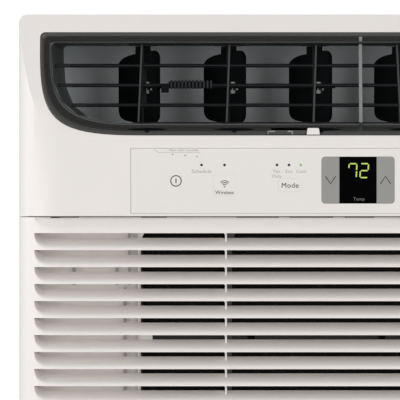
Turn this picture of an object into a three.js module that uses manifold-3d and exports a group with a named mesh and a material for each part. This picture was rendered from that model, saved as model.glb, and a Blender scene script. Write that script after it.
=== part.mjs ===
// Window air conditioner, 8,000 BTU class, in millimetres. +X is right, +Z is up, and the room side
// faces -Y. The origin is the middle of the base pan's underside. The plastic front carries the outlet
// with its louvres and vanes, the control strip and a tilting intake grille; the steel case holds the
// coils, fans and compressor.
import * as THREE from "three";
import { mergeVertices } from "three/addons/utils/BufferGeometryUtils.js";
import Module from "manifold-3d";

const wasm = await Module();
wasm.setup();

// ---------------------------------------------------------------- driving dimensions
const WIDTH = 470;
const HEIGHT = 340;
const DEPTH = 546;
const HALF = WIDTH / 2;
const FRONT = -DEPTH / 2;
const REAR = DEPTH / 2;
const WALL = 3; // plastic wall
const SHEET = 1.2; // steel sheet
const GAP = 0.3; // clearance between touching pieces

// Front: the corners are quarter ellipses in plan, and the outlet's face leans back above LEAN_START.
const CORNER = { x: 32, y: 20 };
const FRONT_BACK = FRONT + 55; // where the plastic front meets the steel case
const LEAN_START = 252;
const LEAN = 17 / 88;
const SEAM = 199.9; // underside of the upper front, over the intake grille
const TOP_RADIUS = 6;

// Outlet
const BEZEL_DEPTH = 12;
const DUCT_BACK = -118;
const LOUVRE_Z = [304.8, 291, 277.1];
const LOUVRE_SET = 18; // louvre axes behind the leaning face
const LOUVRE_CHORD = 10;
const RIB_X = [-150.9, -89.6, -29.2, 29.2, 89.6, 150.9]; // thin uprights that carry the louvres
const RIB_LEAN = 1.1; // each upright leans this far either side of its middle
const VANE_PITCH = 60.3;
const VANE_MIDDLE = 1.45; // the row of vanes stands a little right of the outlet's middle
const VANE_X = [-2.5, -1.5, -0.5, 0.5, 1.5, 2.5].map((n) => VANE_MIDDLE + n * VANE_PITCH);
const VANE_Y = -217;
const VANE_ANGLE = THREE.MathUtils.degToRad(42); // the vanes' swing to the right, as shown
const VANE_PIN = 6; // link pin in front of the vane's pivot
const VANE_STEM = { r: 2.2, z0: 262.7, z1: 321.4 };
const LINK_Z = 290.4;

// Intake grille
const DOOR = { bottom: 4, top: 198.8, back: -250.5, hingeY: -266.5, hingeZ: 10 };
const SLOT = {
  count: 14,
  pitch: 11.75,
  height: 8.9,
  bottom: 179.3,
  half: 223.9,
  corner: 9.4,
  rise: 5.5,
  depth: 12,
};
const RECESS_DEPTH = 5; // blind slot under the door's top edge
const GRILLE_RIB_X = 91.2;
const INTAKE = { left: -150.3, right: 222, bottom: 24, top: 192 };

// Controls
const STRIP = { half: 156.9, bottom: 201.8, top: 246.7 };
const DISPLAY = { half: 25, lens: 12.6, bottom: 208.9, top: 240.8, radius: 2.4 };
const KEY_GAP = 0.3;

// Machine
const AXIS = { x: 25, z: 152 }; // the blower, motor and condenser fan turn about this line
const CASE = { side: 230, top: 332, bottom: 6, front: FRONT_BACK + GAP };
const SHELL_LIP = 8; // flange inside the plastic front's rear edge, over the case's front edge
const GLAND = { y: -190, z: 46, hole: 6.6, r: 6, flange: 9.5, bore: 3.6 };
const PAN = { side: 228.4, front: -215, rear: 272, floor: 1.6, lip: 30 };
const BULKHEAD_Y = -112;
const SCROLL = { front: -166, back: -114, neckLeft: -110, neckRight: 85, top: 262 };
const WHEEL = { r: 88, front: -161, back: -119 };
const FAN = { r: 134, front: 158, back: 184 };
const COMPRESSOR = { x: -150, y: 60, r: 57.5 };
const EVAPORATOR = { x0: -142, x1: 204, y0: -208, y1: -172, z0: 8.4, z1: 194 };
const CONDENSER = { x0: -200, x1: 200, y0: 208, y1: 256, z0: 34, z1: 318 };

// ---------------------------------------------------------------- solids from three.js geometry
function solid(geometry) {
  const loose = geometry.index ? geometry.toNonIndexed() : geometry;
  const bare = new THREE.BufferGeometry().setAttribute("position", loose.getAttribute("position"));
  const merged = mergeVertices(bare, 1e-4);
  return new wasm.Manifold(
    new wasm.Mesh({
      numProp: 3,
      vertProperties: Float32Array.from(merged.attributes.position.array),
      triVerts: Uint32Array.from(merged.index.array),
    }),
  );
}

function geometryOf(manifold) {
  const mesh = manifold.getMesh();
  return new THREE.BufferGeometry()
    .setAttribute("position", new THREE.BufferAttribute(mesh.vertProperties, mesh.numProp))
    .setIndex(new THREE.BufferAttribute(mesh.triVerts, 1));
}

const join = (...parts) => parts.reduce((all, part) => all.add(part));
const cut = (base, ...tools) => tools.reduce((left, tool) => left.subtract(tool), base);

function block([x0, x1], [y0, y1], [z0, z1]) {
  const box = new THREE.BoxGeometry(x1 - x0, y1 - y0, z1 - z0);
  return solid(box.translate((x0 + x1) / 2, (y0 + y1) / 2, (z0 + z1) / 2));
}

function extrude(shape, depth, curveSegments) {
  return new THREE.ExtrudeGeometry(shape, { depth, bevelEnabled: false, steps: 1, curveSegments });
}

// A shape drawn in X and Y, standing from z0 to z1.
function prismZ(shape, z0, z1, segments = 6) {
  return solid(extrude(shape, z1 - z0, segments).translate(0, 0, z0));
}

// A shape drawn in X and Z, running from y0 to y1.
function prismY(shape, y0, y1, segments = 6) {
  return solid(extrude(shape, y1 - y0, segments).rotateX(Math.PI / 2).translate(0, y1, 0));
}

// A shape drawn in Y and Z, running from x0 to x1.
function prismX(shape, x0, x1, segments = 6) {
  const turn = new THREE.Matrix4().makeBasis(
    new THREE.Vector3(0, 1, 0),
    new THREE.Vector3(0, 0, 1),
    new THREE.Vector3(1, 0, 0),
  );
  return solid(extrude(shape, x1 - x0, segments).applyMatrix4(turn).translate(x0, 0, 0));
}

function rodX(radius, x0, x1, y, z, sides = 12) {
  const rod = new THREE.CylinderGeometry(radius, radius, x1 - x0, sides).rotateZ(Math.PI / 2);
  return solid(rod.translate((x0 + x1) / 2, y, z));
}

function rodY(radius, y0, y1, x, z, sides = 12) {
  const rod = new THREE.CylinderGeometry(radius, radius, y1 - y0, sides);
  return solid(rod.translate(x, (y0 + y1) / 2, z));
}

function rodZ(radius, z0, z1, x, y, sides = 12) {
  const rod = new THREE.CylinderGeometry(radius, radius, z1 - z0, sides).rotateX(Math.PI / 2);
  return solid(rod.translate(x, y, (z0 + z1) / 2));
}

function polygon(points) {
  return new THREE.Shape(points.map(([a, b]) => new THREE.Vector2(a, b)));
}

function rectangle(x0, x1, z0, z1, radius = 0) {
  const r = Math.max(radius, 0);
  if (r === 0) return polygon([[x0, z0], [x1, z0], [x1, z1], [x0, z1]]);
  const shape = new THREE.Shape();
  shape.absarc(x1 - r, z0 + r, r, -Math.PI / 2, 0);
  shape.absarc(x1 - r, z1 - r, r, 0, Math.PI / 2);
  shape.absarc(x0 + r, z1 - r, r, Math.PI / 2, Math.PI);
  shape.absarc(x0 + r, z0 + r, r, Math.PI, 1.5 * Math.PI);
  shape.closePath();
  return shape;
}

// A solid through matching closed loops of points, closed at both ends.
function loft(loops) {
  const n = loops[0].length;
  const positions = loops.flat().flatMap((p) => [p.x, p.y, p.z]);
  const faces = [];
  for (let i = 0; i + 1 < loops.length; i++) {
    for (let j = 0; j < n; j++) {
      const k = (j + 1) % n;
      const [a, b, c, d] = [i * n + j, i * n + k, (i + 1) * n + k, (i + 1) * n + j];
      faces.push(a, b, c, a, c, d);
    }
  }
  const flat = loops[0].map((p) => new THREE.Vector2(p.x, p.z));
  const last = (loops.length - 1) * n;
  for (const [a, b, c] of THREE.ShapeUtils.triangulateShape(flat, [])) {
    faces.push(a, c, b, last + a, last + b, last + c);
  }
  const geometry = new THREE.BufferGeometry();
  geometry.setAttribute("position", new THREE.Float32BufferAttribute(positions, 3));
  geometry.setIndex(faces);
  const made = solid(geometry);
  if (made.volume() > 0) return made;
  const turned = [];
  for (let i = 0; i < faces.length; i += 3) turned.push(faces[i], faces[i + 2], faces[i + 1]);
  geometry.setIndex(turned);
  return solid(geometry);
}

// A round tube of radius r along a smooth path through the points.
function tube(points, r, steps = 24, sides = 8) {
  const path = new THREE.CatmullRomCurve3(points.map((p) => new THREE.Vector3(...p)));
  const round = new THREE.Shape();
  for (let i = 0; i < sides; i++) {
    const a = (2 * Math.PI * i) / sides;
    const point = [r * Math.cos(a), r * Math.sin(a)];
    if (i === 0) round.moveTo(...point);
    else round.lineTo(...point);
  }
  return solid(new THREE.ExtrudeGeometry(round, { extrudePath: path, steps, bevelEnabled: false }));
}

// ---------------------------------------------------------------- materials and scene graph
const paint = (color, roughness, metalness = 0) =>
  new THREE.MeshStandardMaterial({ color, roughness, metalness });
const WHITE_PLASTIC = paint(0xe6e2de, 0.45);
const DARK_GLOSS = paint(0x2e3031, 0.2);
const DUCT_GREY = paint(0x53575a, 0.6);
const BLACK_PLASTIC = paint(0x16181a, 0.4);
const KEY_GREY = paint(0x9b9b98, 0.5);
const STRIP_FILM = paint(0xe0dcd8, 0.35);
const BLACK_GLASS = paint(0x050506, 0.08);
const FILTER_DARK = paint(0x1d1d1c, 0.8);
const CIRCUIT = paint(0x1f6b3a, 0.5);
const CASE_PAINT = paint(0xdcdad6, 0.5);
const GALVANISED = paint(0xa9adb0, 0.4, 0.9);
const ALUMINIUM = paint(0xc8ccd0, 0.35, 1);
const COPPER = paint(0xb87333, 0.3, 1);
const FOAM = paint(0xf2f2ee, 0.9);
const BLACK_STEEL = paint(0x1b1c1e, 0.45, 0.5);

const unit = new THREE.Group();

function add(name, manifold, material) {
  const mesh = new THREE.Mesh(geometryOf(manifold), material);
  mesh.name = name;
  unit.add(mesh);
}

// ---------------------------------------------------------------- front shell
const faceY = (z) => FRONT + Math.max(0, z - LEAN_START) * LEAN;

// Plan of the front: straight sides, a flat face and elliptical corners.
function frontPlan(half, front, back, rx, ry) {
  const shape = new THREE.Shape();
  shape.moveTo(-half, back);
  shape.lineTo(-half, front + ry);
  shape.absellipse(-half + rx, front + ry, rx, ry, Math.PI, 1.5 * Math.PI);
  shape.lineTo(half - rx, front);
  shape.absellipse(half - rx, front + ry, rx, ry, 1.5 * Math.PI, 2 * Math.PI);
  shape.lineTo(half, back);
  shape.closePath();
  return shape;
}

// What stands in front of the leaning face, set back by a distance.
function aheadOfLean(set) {
  const over = HEIGHT + 5;
  const outline = [
    [FRONT - 5, LEAN_START],
    [FRONT + set, LEAN_START],
    [FRONT + set + (over - LEAN_START) * LEAN, over],
    [FRONT - 5, over],
  ];
  return prismX(polygon(outline), -HALF - 5, HALF + 5);
}

// The outlet's outline in X and Z: small top corners, and wide bottom corners drawn as Bezier curves.
function outletPoints({ side, top, radius, foot, knee, toe, bottom, flat }, divisions = 9) {
  const shape = new THREE.Shape();
  shape.moveTo(side, top - radius);
  shape.absarc(side - radius, top - radius, radius, 0, Math.PI / 2);
  shape.lineTo(-side + radius, top);
  shape.absarc(-side + radius, top - radius, radius, Math.PI / 2, Math.PI);
  shape.lineTo(-side, foot);
  shape.bezierCurveTo(-side - 0.4, knee, -toe, bottom, -flat, bottom);
  shape.lineTo(flat, bottom);
  shape.bezierCurveTo(toe, bottom, side + 0.4, knee, side, foot);
  return shape.getPoints(divisions).filter((p, i, all) => i === 0 || p.distanceTo(all[i - 1]) > 1e-3);
}

const MOUTH = {
  side: 220.2,
  top: 327.6,
  radius: 3.6,
  foot: 318.2,
  knee: 266.4,
  toe: 212.8,
  bottom: 255.7,
  flat: 150.6,
};
const THROAT = {
  side: 212.7,
  top: 320.3,
  radius: 3,
  foot: 314.8,
  knee: 274.7,
  toe: 200.4,
  bottom: 264.3,
  flat: 150.6,
};

// The same outline grown by a margin, or pulled in by a negative one.
function grown(outline, by) {
  const { side, top, foot, knee, toe, bottom } = outline;
  const wider = { side: side + by, toe: toe + by };
  return { ...outline, ...wider, top: top + by, foot, knee: knee - by, bottom: bottom - by };
}

// The outline as a loop on the leaning face, set back by a distance, or standing upright at a depth.
const onFace = (outline, set, fine = 8) =>
  outletPoints(outline, fine).map((p) => new THREE.Vector3(p.x, faceY(p.y) + set, p.y));
const atDepth = (outline, y, fine = 8) =>
  outletPoints(outline, fine).map((p) => new THREE.Vector3(p.x, y, p.y));

const KEYS = {
  power_key: { x: -125.8, z: 224.3, w: 8, h: 8, r: 3.98, arc: 4 },
  connect_key: { x: -92.2, z: 221.5, w: 15.6, h: 15, r: 2, arc: 2 },
  mode_key: { x: -47, z: 221.5, w: 16, h: 9, r: 2, arc: 2 },
  fan_speed_key: { x: 58, z: 221.5, w: 16, h: 9, r: 2, arc: 2 },
  timer_key: { x: 99, z: 221.5, w: 16, h: 9, r: 2, arc: 2 },
};
const keyShape = ({ x, z, w, h, r }, g) =>
  rectangle(x - w / 2 - g, x + w / 2 + g, z - h / 2 - g, z + h / 2 + g, r + g);
const LAMP_X = [-108.1, -92.2, -56, -47.7, -39.6, 50, 58, 66, 99];
const LAMP_Z = 235.3;
const LAMP_R = 0.9;
const displayWindow = (g) => {
  const { half, bottom, top, radius } = DISPLAY;
  return rectangle(-half - g, half + g, bottom - g, top + g, radius);
};

function controlOpenings(y0, y1) {
  const keys = Object.values(KEYS).map((key) => prismY(keyShape(key, KEY_GAP), y0, y1, key.arc));
  const lamps = LAMP_X.map((x) => rodY(LAMP_R + KEY_GAP, y0, y1, x, LAMP_Z, 6));
  return [...keys, ...lamps, prismY(displayWindow(KEY_GAP), y0, y1, 2)];
}

function frontEscutcheon() {
  const plan = frontPlan(HALF, FRONT, FRONT_BACK, CORNER.x, CORNER.y);
  const hollow = frontPlan(HALF - WALL, FRONT + WALL, FRONT_BACK + 1, CORNER.x - WALL, CORNER.y - WALL);
  const face = new THREE.Shape();
  face.moveTo(-HALF - 1, SEAM);
  face.lineTo(HALF + 1, SEAM);
  face.lineTo(HALF + 1, HEIGHT - TOP_RADIUS);
  face.lineTo(HALF, HEIGHT - TOP_RADIUS);
  face.absarc(HALF - TOP_RADIUS, HEIGHT - TOP_RADIUS, TOP_RADIUS, 0, Math.PI / 2);
  face.lineTo(-HALF + TOP_RADIUS, HEIGHT);
  face.absarc(-HALF + TOP_RADIUS, HEIGHT - TOP_RADIUS, TOP_RADIUS, Math.PI / 2, Math.PI);
  face.lineTo(-HALF - 1, HEIGHT - TOP_RADIUS);
  face.closePath();
  const outer = cut(prismZ(plan, SEAM, HEIGHT, 5), aheadOfLean(0)).intersect(
    prismY(face, FRONT - 1, FRONT_BACK + 1, 4),
  );
  const inner = cut(prismZ(hollow, SEAM - 1, HEIGHT - WALL, 3), aheadOfLean(WALL));
  const mouth = loft([onFace(MOUTH, -5), onFace(MOUTH, 30)]);
  const flange = cut(
    block([-HALF + 1, HALF - 1], [FRONT_BACK - WALL, FRONT_BACK], [SEAM, HEIGHT - 1]),
    block(
      [-HALF + SHELL_LIP, HALF - SHELL_LIP],
      [FRONT_BACK - WALL - 1, FRONT_BACK + 1],
      [SEAM - 1, HEIGHT - SHELL_LIP - WALL],
    ),
  );
  const strip = block(
    [-STRIP.half - GAP, STRIP.half + GAP],
    [FRONT - 1, FRONT + 1],
    [STRIP.bottom - GAP, STRIP.top + GAP],
  );
  const shell = cut(outer, inner, mouth, strip, ...controlOpenings(FRONT - 1, FRONT + 10));
  return join(shell, flange.intersect(outer));
}

add("front_escutcheon", frontEscutcheon(), WHITE_PLASTIC);

// ---------------------------------------------------------------- outlet: bezel, duct, louvres
const VENT_SLOT = { x0: -59.9, x1: -25.9, z0: 256.1, z1: 262.6 };

function outletBezel() {
  const body = loft([onFace(grown(MOUTH, -GAP), 0.2), onFace(grown(THROAT, 1.6), BEZEL_DEPTH)]);
  const hole = loft([
    onFace(grown(MOUTH, -1.3), -0.8),
    onFace(grown(MOUTH, -1.5), 0.6),
    onFace(THROAT, BEZEL_DEPTH - 0.6),
    onFace(THROAT, BEZEL_DEPTH + 1),
  ]);
  const slot = block([VENT_SLOT.x0, VENT_SLOT.x1], [FRONT - 2, FRONT + 16], [VENT_SLOT.z0, VENT_SLOT.z1]);
  return cut(body, hole, slot);
}

add("outlet_bezel", outletBezel(), DARK_GLOSS);

// A grey tunnel behind the bezel, open to the blower's neck through its floor.
const CEILING_DISC = { r: 10.4, z0: 319.5, z1: 322.2 }; // one over each vane
const DUCT_TAPER = 4.6; // each side comes in this much towards the back
const DUCT_RISE = 2.6; // and the ceiling goes up

function outletDuct() {
  const wall = 2;
  const back = {
    ...THROAT,
    side: THROAT.side - DUCT_TAPER,
    toe: THROAT.toe - DUCT_TAPER,
    flat: THROAT.flat - DUCT_TAPER,
    top: THROAT.top + DUCT_RISE,
  };
  const outer = loft([
    onFace(grown(THROAT, wall), BEZEL_DEPTH + 0.5, 5),
    atDepth(grown(back, wall), DUCT_BACK, 5),
  ]);
  const inner = loft([
    onFace(THROAT, BEZEL_DEPTH - 2, 5),
    onFace(THROAT, BEZEL_DEPTH + 0.5, 5),
    atDepth(back, DUCT_BACK - wall, 5),
  ]);
  const neck = block(
    [SCROLL.neckLeft + 2, SCROLL.neckRight - 2],
    [SCROLL.front + 4, DUCT_BACK - wall - 2],
    [255, 268],
  );
  const { r, z0, z1 } = CEILING_DISC;
  const discs = VANE_X.map((x) => rodZ(r, z0, z1, x, VANE_Y, 16));
  const pivots = VANE_X.map((x) => rodZ(VANE_STEM.r + 0.4, 255, 330, x, VANE_Y, 8));
  return cut(join(cut(outer, inner, neck), ...discs), ...pivots);
}

add("outlet_duct", outletDuct(), DUCT_GREY);

// A pale upright in the middle of the outlet, between the bezel's top and bottom slopes.
function centreDivider() {
  const edge = (set, z) => [faceY(z) + set, z];
  const outline = [edge(0.8, 257.8), edge(11.4, 264.8), edge(11.4, 319.9), edge(0.8, 325.6)];
  return prismX(polygon(outline), 1.2, 3.7);
}

add("centre_divider", centreDivider(), KEY_GREY);

// ---------------------------------------------------------------- louvres: up and down
const louvreY = (z) => faceY(z) + LOUVRE_SET;
const JOURNAL = 1.3;

// A four-sided bar between two level loops.
function bar4(bottom, top) {
  const positions = [...bottom, ...top].flat();
  const sides = [0, 1, 2, 3].flatMap((i) => {
    const j = (i + 1) % 4;
    return [i, j, 4 + j, i, 4 + j, 4 + i];
  });
  const geometry = new THREE.BufferGeometry();
  geometry.setAttribute("position", new THREE.Float32BufferAttribute(positions, 3));
  geometry.setIndex([...sides, 0, 2, 1, 0, 3, 2, 4, 5, 6, 4, 6, 7]);
  return solid(geometry);
}

function louvreSupportFrame() {
  const [front, back] = [LOUVRE_SET - 4, LOUVRE_SET + 4];
  const [low, high, thin] = [THROAT.bottom + GAP, THROAT.top - GAP, 0.7];
  const rail = (z0, z1) => {
    const [y0, y1] = [faceY(z0), faceY(z1)];
    const outline = [[y0 + front, z0], [y0 + back, z0], [y1 + back, z1], [y1 + front, z1]];
    return prismX(polygon(outline), RIB_X[0] - 5, RIB_X[5] + 5);
  };
  const uprights = RIB_X.map((x) => {
    const lean = Math.sign(-x) * RIB_LEAN;
    const corners = [[-0.6, front], [0.6, front], [0.6, back], [-0.6, back]];
    const level = (z, dx) => corners.map(([u, v]) => [x + dx + u, faceY(z) + v, z]);
    return bar4(level(low, -lean), level(high, lean));
  });
  const holes = LOUVRE_Z.map((z) => rodX(JOURNAL + 0.5, RIB_X[0] - 8, RIB_X[5] + 8, louvreY(z), z, 6));
  return cut(join(rail(low, low + thin), rail(high - thin, high), ...uprights), ...holes);
}

add("louvre_support_frame", louvreSupportFrame(), BLACK_PLASTIC);

// Each louvre is a thin blade with round journals at the uprights, and a crank near its left end
// whose pin runs in the gang link.
const GANG = { x: -148.3, thick: 1.8, arm: 7, half: 2.2, pin: 1.3 };
const LOUVRES = { louvre_top: 209.3, louvre_middle: 206.8, louvre_bottom: 197.5 };

function louvre(z, end) {
  const y = louvreY(z);
  const half = LOUVRE_CHORD / 2;
  const profile = polygon([
    [y - half, z - 0.25],
    [y, z - 0.8],
    [y + half, z - 0.25],
    [y + half, z + 0.25],
    [y, z + 0.8],
    [y - half, z + 0.25],
  ]);
  const clear = 2.4;
  const stops = [-end - clear, ...RIB_X, end + clear];
  const panels = RIB_X.map((x, i) => prismX(profile, stops[i] + clear, x - clear));
  panels.push(prismX(profile, RIB_X[5] + clear, end));
  const armX = [GANG.x + GANG.thick + 0.5, GANG.x + GANG.thick + 2];
  const arm = block(armX, [y, y + GANG.arm + 1.3], [z - 1.2, z + 1.2]);
  const pin = rodX(GANG.pin, GANG.x - 0.6, armX[1], y + GANG.arm, z, 6);
  const notch = block([GANG.x - 0.8, armX[1] + 0.6], [y + JOURNAL, y + half + 1], [z - 1, z + 1]);
  const blades = panels.map((panel) => panel.subtract(notch));
  return join(...blades, rodX(JOURNAL, -end - 1.2, end + 1.2, y, z, 6), arm, pin);
}

Object.entries(LOUVRES).forEach(([name, end], i) => add(name, louvre(LOUVRE_Z[i], end), BLACK_PLASTIC));

function louvreGangLink() {
  const at = LOUVRE_Z.map((z) => [louvreY(z) + GANG.arm, z]);
  const end = 2;
  const edge = ([y, z], side, over) => [y + side * GANG.half + over * LEAN, z + over];
  const [upper, lower] = [at[0], at[2]];
  const foot = [edge(lower, -1, -end), edge(lower, 1, -end)];
  const strip = polygon([...foot, edge(upper, 1, end), edge(upper, -1, end)]);
  const x1 = GANG.x + GANG.thick;
  const eyes = at.map(([y, z]) => rodX(GANG.half + 0.2, GANG.x, x1, y, z, 8));
  const holes = at.map(([y, z]) => rodX(GANG.pin + 0.4, GANG.x - 1, x1 + 1, y, z, 6));
  return cut(join(prismX(strip, GANG.x, x1), ...eyes), ...holes);
}

add("louvre_gang_link", louvreGangLink(), BLACK_PLASTIC);

// ---------------------------------------------------------------- vanes: side to side
const AHEAD = new THREE.Vector3(Math.sin(VANE_ANGLE), -Math.cos(VANE_ANGLE), 0);
const LINK_PIN = 1.2;
const pinOf = (x) => [x + VANE_PIN * AHEAD.x, VANE_Y + VANE_PIN * AHEAD.y];
const VANE_THICK = 1.6;
const LINK_WINDOW = { u0: 1.6, u1: 10.4, z0: LINK_Z - 2.2, z1: LINK_Z + 2.4 };

// A vane's outline, u forward of its pivot and z up: a neck under the ceiling disc, a sloping shoulder
// on the tail and round corners.
function vaneOutline() {
  const [tail, nose, neck, foot] = [-25.4, 17.2, 7.3, 265];
  const shape = new THREE.Shape();
  shape.moveTo(-neck, CEILING_DISC.z0 - GAP);
  shape.lineTo(-neck, 314);
  shape.quadraticCurveTo(-20.6, 312.4, tail, 307.6);
  shape.lineTo(tail, 274.5);
  shape.quadraticCurveTo(tail, 268, -17, 267);
  shape.lineTo(-8.5, 265.8);
  shape.lineTo(-5, foot);
  shape.lineTo(nose - 6.5, foot);
  shape.quadraticCurveTo(nose, foot, nose, 271);
  shape.lineTo(nose, 310.6);
  shape.quadraticCurveTo(nose, 316, nose - 5.4, 316);
  shape.lineTo(neck, 316);
  shape.lineTo(neck, CEILING_DISC.z0 - GAP);
  shape.closePath();
  return shape;
}

function vane(x) {
  const shape = vaneOutline();
  const { u0, u1, z0, z1 } = LINK_WINDOW;
  const hole = [[u0, z0], [u0, z1], [u1, z1], [u1, z0]].map((p) => new THREE.Vector2(...p));
  shape.holes.push(new THREE.Path(hole));
  const up = new THREE.Vector3(0, 0, 1);
  const normal = new THREE.Vector3().crossVectors(AHEAD, up);
  const blade = extrude(shape, VANE_THICK, 3).translate(0, 0, -VANE_THICK / 2);
  blade.applyMatrix4(new THREE.Matrix4().makeBasis(AHEAD, up, normal)).translate(x, VANE_Y, 0);
  const stem = rodZ(VANE_STEM.r, VANE_STEM.z0, VANE_STEM.z1, x, VANE_Y, 8);
  const [px, py] = pinOf(x);
  return join(solid(blade), stem, rodZ(LINK_PIN, z0 - 1, z1 + 1, px, py, 6));
}

VANE_X.forEach((x, i) => add(`vane_${i + 1}`, vane(x), BLACK_PLASTIC));

// A bar that gangs three vanes, with a ribbed grip in front of the louvres on a neck below the middle one.
const GRIP = { x0: -130.3, x1: -100.2, y0: -259.5, y1: -255.5, z0: 288.3, z1: 294.5 };
const LINK = { z0: LINK_Z - 0.8, z1: LINK_Z + 0.8, half: 1.2, eye: 3, over: 10.5 };
const NECK = { x0: GRIP.x0 - 5.9, x1: GRIP.x0 - 0.8, z0: 286, z1: 287.6, back: -240 };
const RISER_TOP = 291.6;

function vaneLink(first) {
  const shift = VANE_X[first] - VANE_X[0];
  const pins = VANE_X.slice(first, first + 3).map(pinOf);
  const y = pins[0][1];
  const { z0, z1, half, eye, over } = LINK;
  const across = [y - half, y + half];
  const arm = [GRIP.y0 + 0.5, GRIP.y1 - 0.5];
  const neck = [NECK.x0 + shift, NECK.x1 + shift];
  const body = join(
    block([pins[0][0], pins[2][0] + over], across, [z0, z1]),
    ...pins.map(([px]) => rodZ(eye, z0, z1, px, y, 8)),
    block(neck, [NECK.back - 0.5, across[1]], [NECK.z1 - 0.5, z1]),
    block(neck, [arm[0], NECK.back], [NECK.z0, NECK.z1]),
    block(neck, arm, [NECK.z0, RISER_TOP]),
    block([neck[0], GRIP.x0 + 2 + shift], arm, [GRIP.z0 + 0.4, RISER_TOP]),
    block([GRIP.x0 + shift, GRIP.x1 + shift], [GRIP.y0, GRIP.y1], [GRIP.z0, GRIP.z1]),
  );
  return cut(body, ...pins.map(([px]) => rodZ(LINK_PIN + 0.5, z0 - 1, z1 + 1, px, y, 6)));
}

add("vane_link_left", vaneLink(0), BLACK_PLASTIC);
add("vane_link_right", vaneLink(3), BLACK_PLASTIC);

// ---------------------------------------------------------------- fresh-air vent
const VENT_FLAP = { x0: -206, x1: -166, z0: 214, z1: 250 };
const LEVER = { x: -30.9, foot: 4.6, head: 4, arm: 3, z0: 256.3, z1: 260.9 };
const LEVER_ROD = { left: -195, y0: -248, y1: -244, reach: -128, z0: 256.4 };

function ventLever() {
  const { x, foot, head, arm, z0, z1 } = LEVER;
  const tab = polygon([[x - foot, z0], [x + foot, z0], [x + head, z1], [x - head, z1]]);
  const rod = LEVER_ROD;
  return join(
    prismY(tab, FRONT + 0.1, FRONT + 3.6),
    block([x - arm, x + arm], [FRONT + 2, rod.y1], [rod.z0 + 1, z1 - 0.2]),
    block([rod.left, x + arm], [rod.y0, rod.y1], [rod.z0, z1]),
    block([rod.left, rod.left + 4], [rod.y0, rod.reach], [rod.z0, z1]),
  );
}

add("vent_lever", ventLever(), WHITE_PLASTIC);

function ventDamper() {
  const { x0, x1, z0, z1 } = VENT_FLAP;
  return join(
    block([x0 + 0.5, x1 - 0.5], [BULKHEAD_Y, BULKHEAD_Y + SHEET], [z0 + 0.5, z1 - 0.5]),
    rodZ(1.4, z0 + 0.5, z1 - 0.5, x0 + 2, BULKHEAD_Y + 0.6, 8),
  );
}

add("vent_damper", ventDamper(), GALVANISED);

// ---------------------------------------------------------------- controls
add(
  "control_overlay",
  cut(
    block([-STRIP.half, STRIP.half], [FRONT, FRONT + 0.7], [STRIP.bottom, STRIP.top]),
    ...controlOpenings(FRONT - 1, FRONT + 2),
  ),
  STRIP_FILM,
);

const LENS_Z = [DISPLAY.bottom + 0.3, DISPLAY.top - 0.3];
const lens = rectangle(-DISPLAY.lens, DISPLAY.lens, ...LENS_Z);
add("display_lens", prismY(lens, FRONT, FRONT + 2.5), BLACK_GLASS);

const KEY_BACK = FRONT + 10.1;
const tempKey = (x0, x1) => prismY(rectangle(x0, x1, ...LENS_Z, 1.8), FRONT, KEY_BACK, 2);
add("temp_down_key", tempKey(-24.8, -13), KEY_GREY);
add("temp_up_key", tempKey(13, 24.8), KEY_GREY);
for (const [name, key] of Object.entries(KEYS)) {
  const { x, z, w, h } = key;
  const cap = prismY(keyShape(key, 0), FRONT, KEY_BACK, key.arc);
  const flange = block(
    [x - w / 2 - 0.9, x + w / 2 + 0.9],
    [FRONT + WALL + 0.4, FRONT + WALL + 1.6],
    [z - h / 2 - 0.9, z + h / 2 + 0.9],
  );
  add(name, join(cap, flange), KEY_GREY);
}

// Clear pipes that carry the indicator lights to the strip's face.
function lightGuide(lamps) {
  const bar = block(
    [lamps[0] - 1.4, lamps.at(-1) + 1.4],
    [FRONT + WALL + 0.5, FRONT + WALL + 2.3],
    [LAMP_Z - 1.4, LAMP_Z + 1.4],
  );
  return join(bar, ...lamps.map((x) => rodY(LAMP_R, FRONT, FRONT + WALL + 1, x, LAMP_Z, 6)));
}

add("light_guide_left", lightGuide(LAMP_X.filter((x) => x < 0)), KEY_GREY);
add("light_guide_right", lightGuide(LAMP_X.filter((x) => x > 0)), KEY_GREY);

function controlBoard() {
  const [y0, y1] = [FRONT + 11, FRONT + 12.6];
  const post = (x, z) => rodY(2.5, FRONT + WALL + 0.3, y0 + 0.5, x, z, 6);
  const posts = [-148, 148].flatMap((x) => [208, 242].map((z) => post(x, z)));
  const parts = [[-120, 14, 12], [-60, 22, 9], [0, 46, 6], [70, 18, 14]].map(([x, w, d]) =>
    block([x - w / 2, x + w / 2], [y1 - 0.2, y1 + d], [216, 234]),
  );
  return join(block([-152, 152], [y0, y1], [204, 246]), ...posts, ...parts);
}

add("control_board", controlBoard(), CIRCUIT);

// ---------------------------------------------------------------- intake door
// Depth of the front's surface at a distance from the middle: flat, then round the elliptical corner.
function surfaceY(x) {
  const into = Math.max(0, Math.abs(x) - (HALF - CORNER.x)) / CORNER.x;
  return FRONT + CORNER.y * (1 - Math.sqrt(1 - into * into));
}

// A slot through the grille that rises as it goes back. Its upper edge is level, its lower corners are
// round, and both follow the front's surface round the corner.
function grilleSlot(k, depth) {
  const z0 = SLOT.bottom - SLOT.pitch * k;
  const z1 = z0 + SLOT.height;
  const shape = new THREE.Shape();
  shape.absellipse(-SLOT.half + SLOT.corner, z1, SLOT.corner, SLOT.height, Math.PI, 1.5 * Math.PI);
  const scoop = shape.getPoints(4);
  const bend = [HALF - CORNER.x, (2 * HALF - 2 * CORNER.x + SLOT.half) / 3];
  const left = [...scoop, new THREE.Vector2(-bend[0], z0)];
  const right = left.map((p) => new THREE.Vector2(-p.x, p.y)).reverse();
  const top = [bend[1], bend[0], -bend[0], -bend[1]].map((x) => new THREE.Vector2(x, z1));
  const slope = SLOT.rise / SLOT.depth;
  const loop = (by) =>
    [...left, ...right, ...top].map((p) => new THREE.Vector3(p.x, surfaceY(p.x) + by, p.y + slope * by));
  return loft([loop(-7), loop(depth)]);
}

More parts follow.
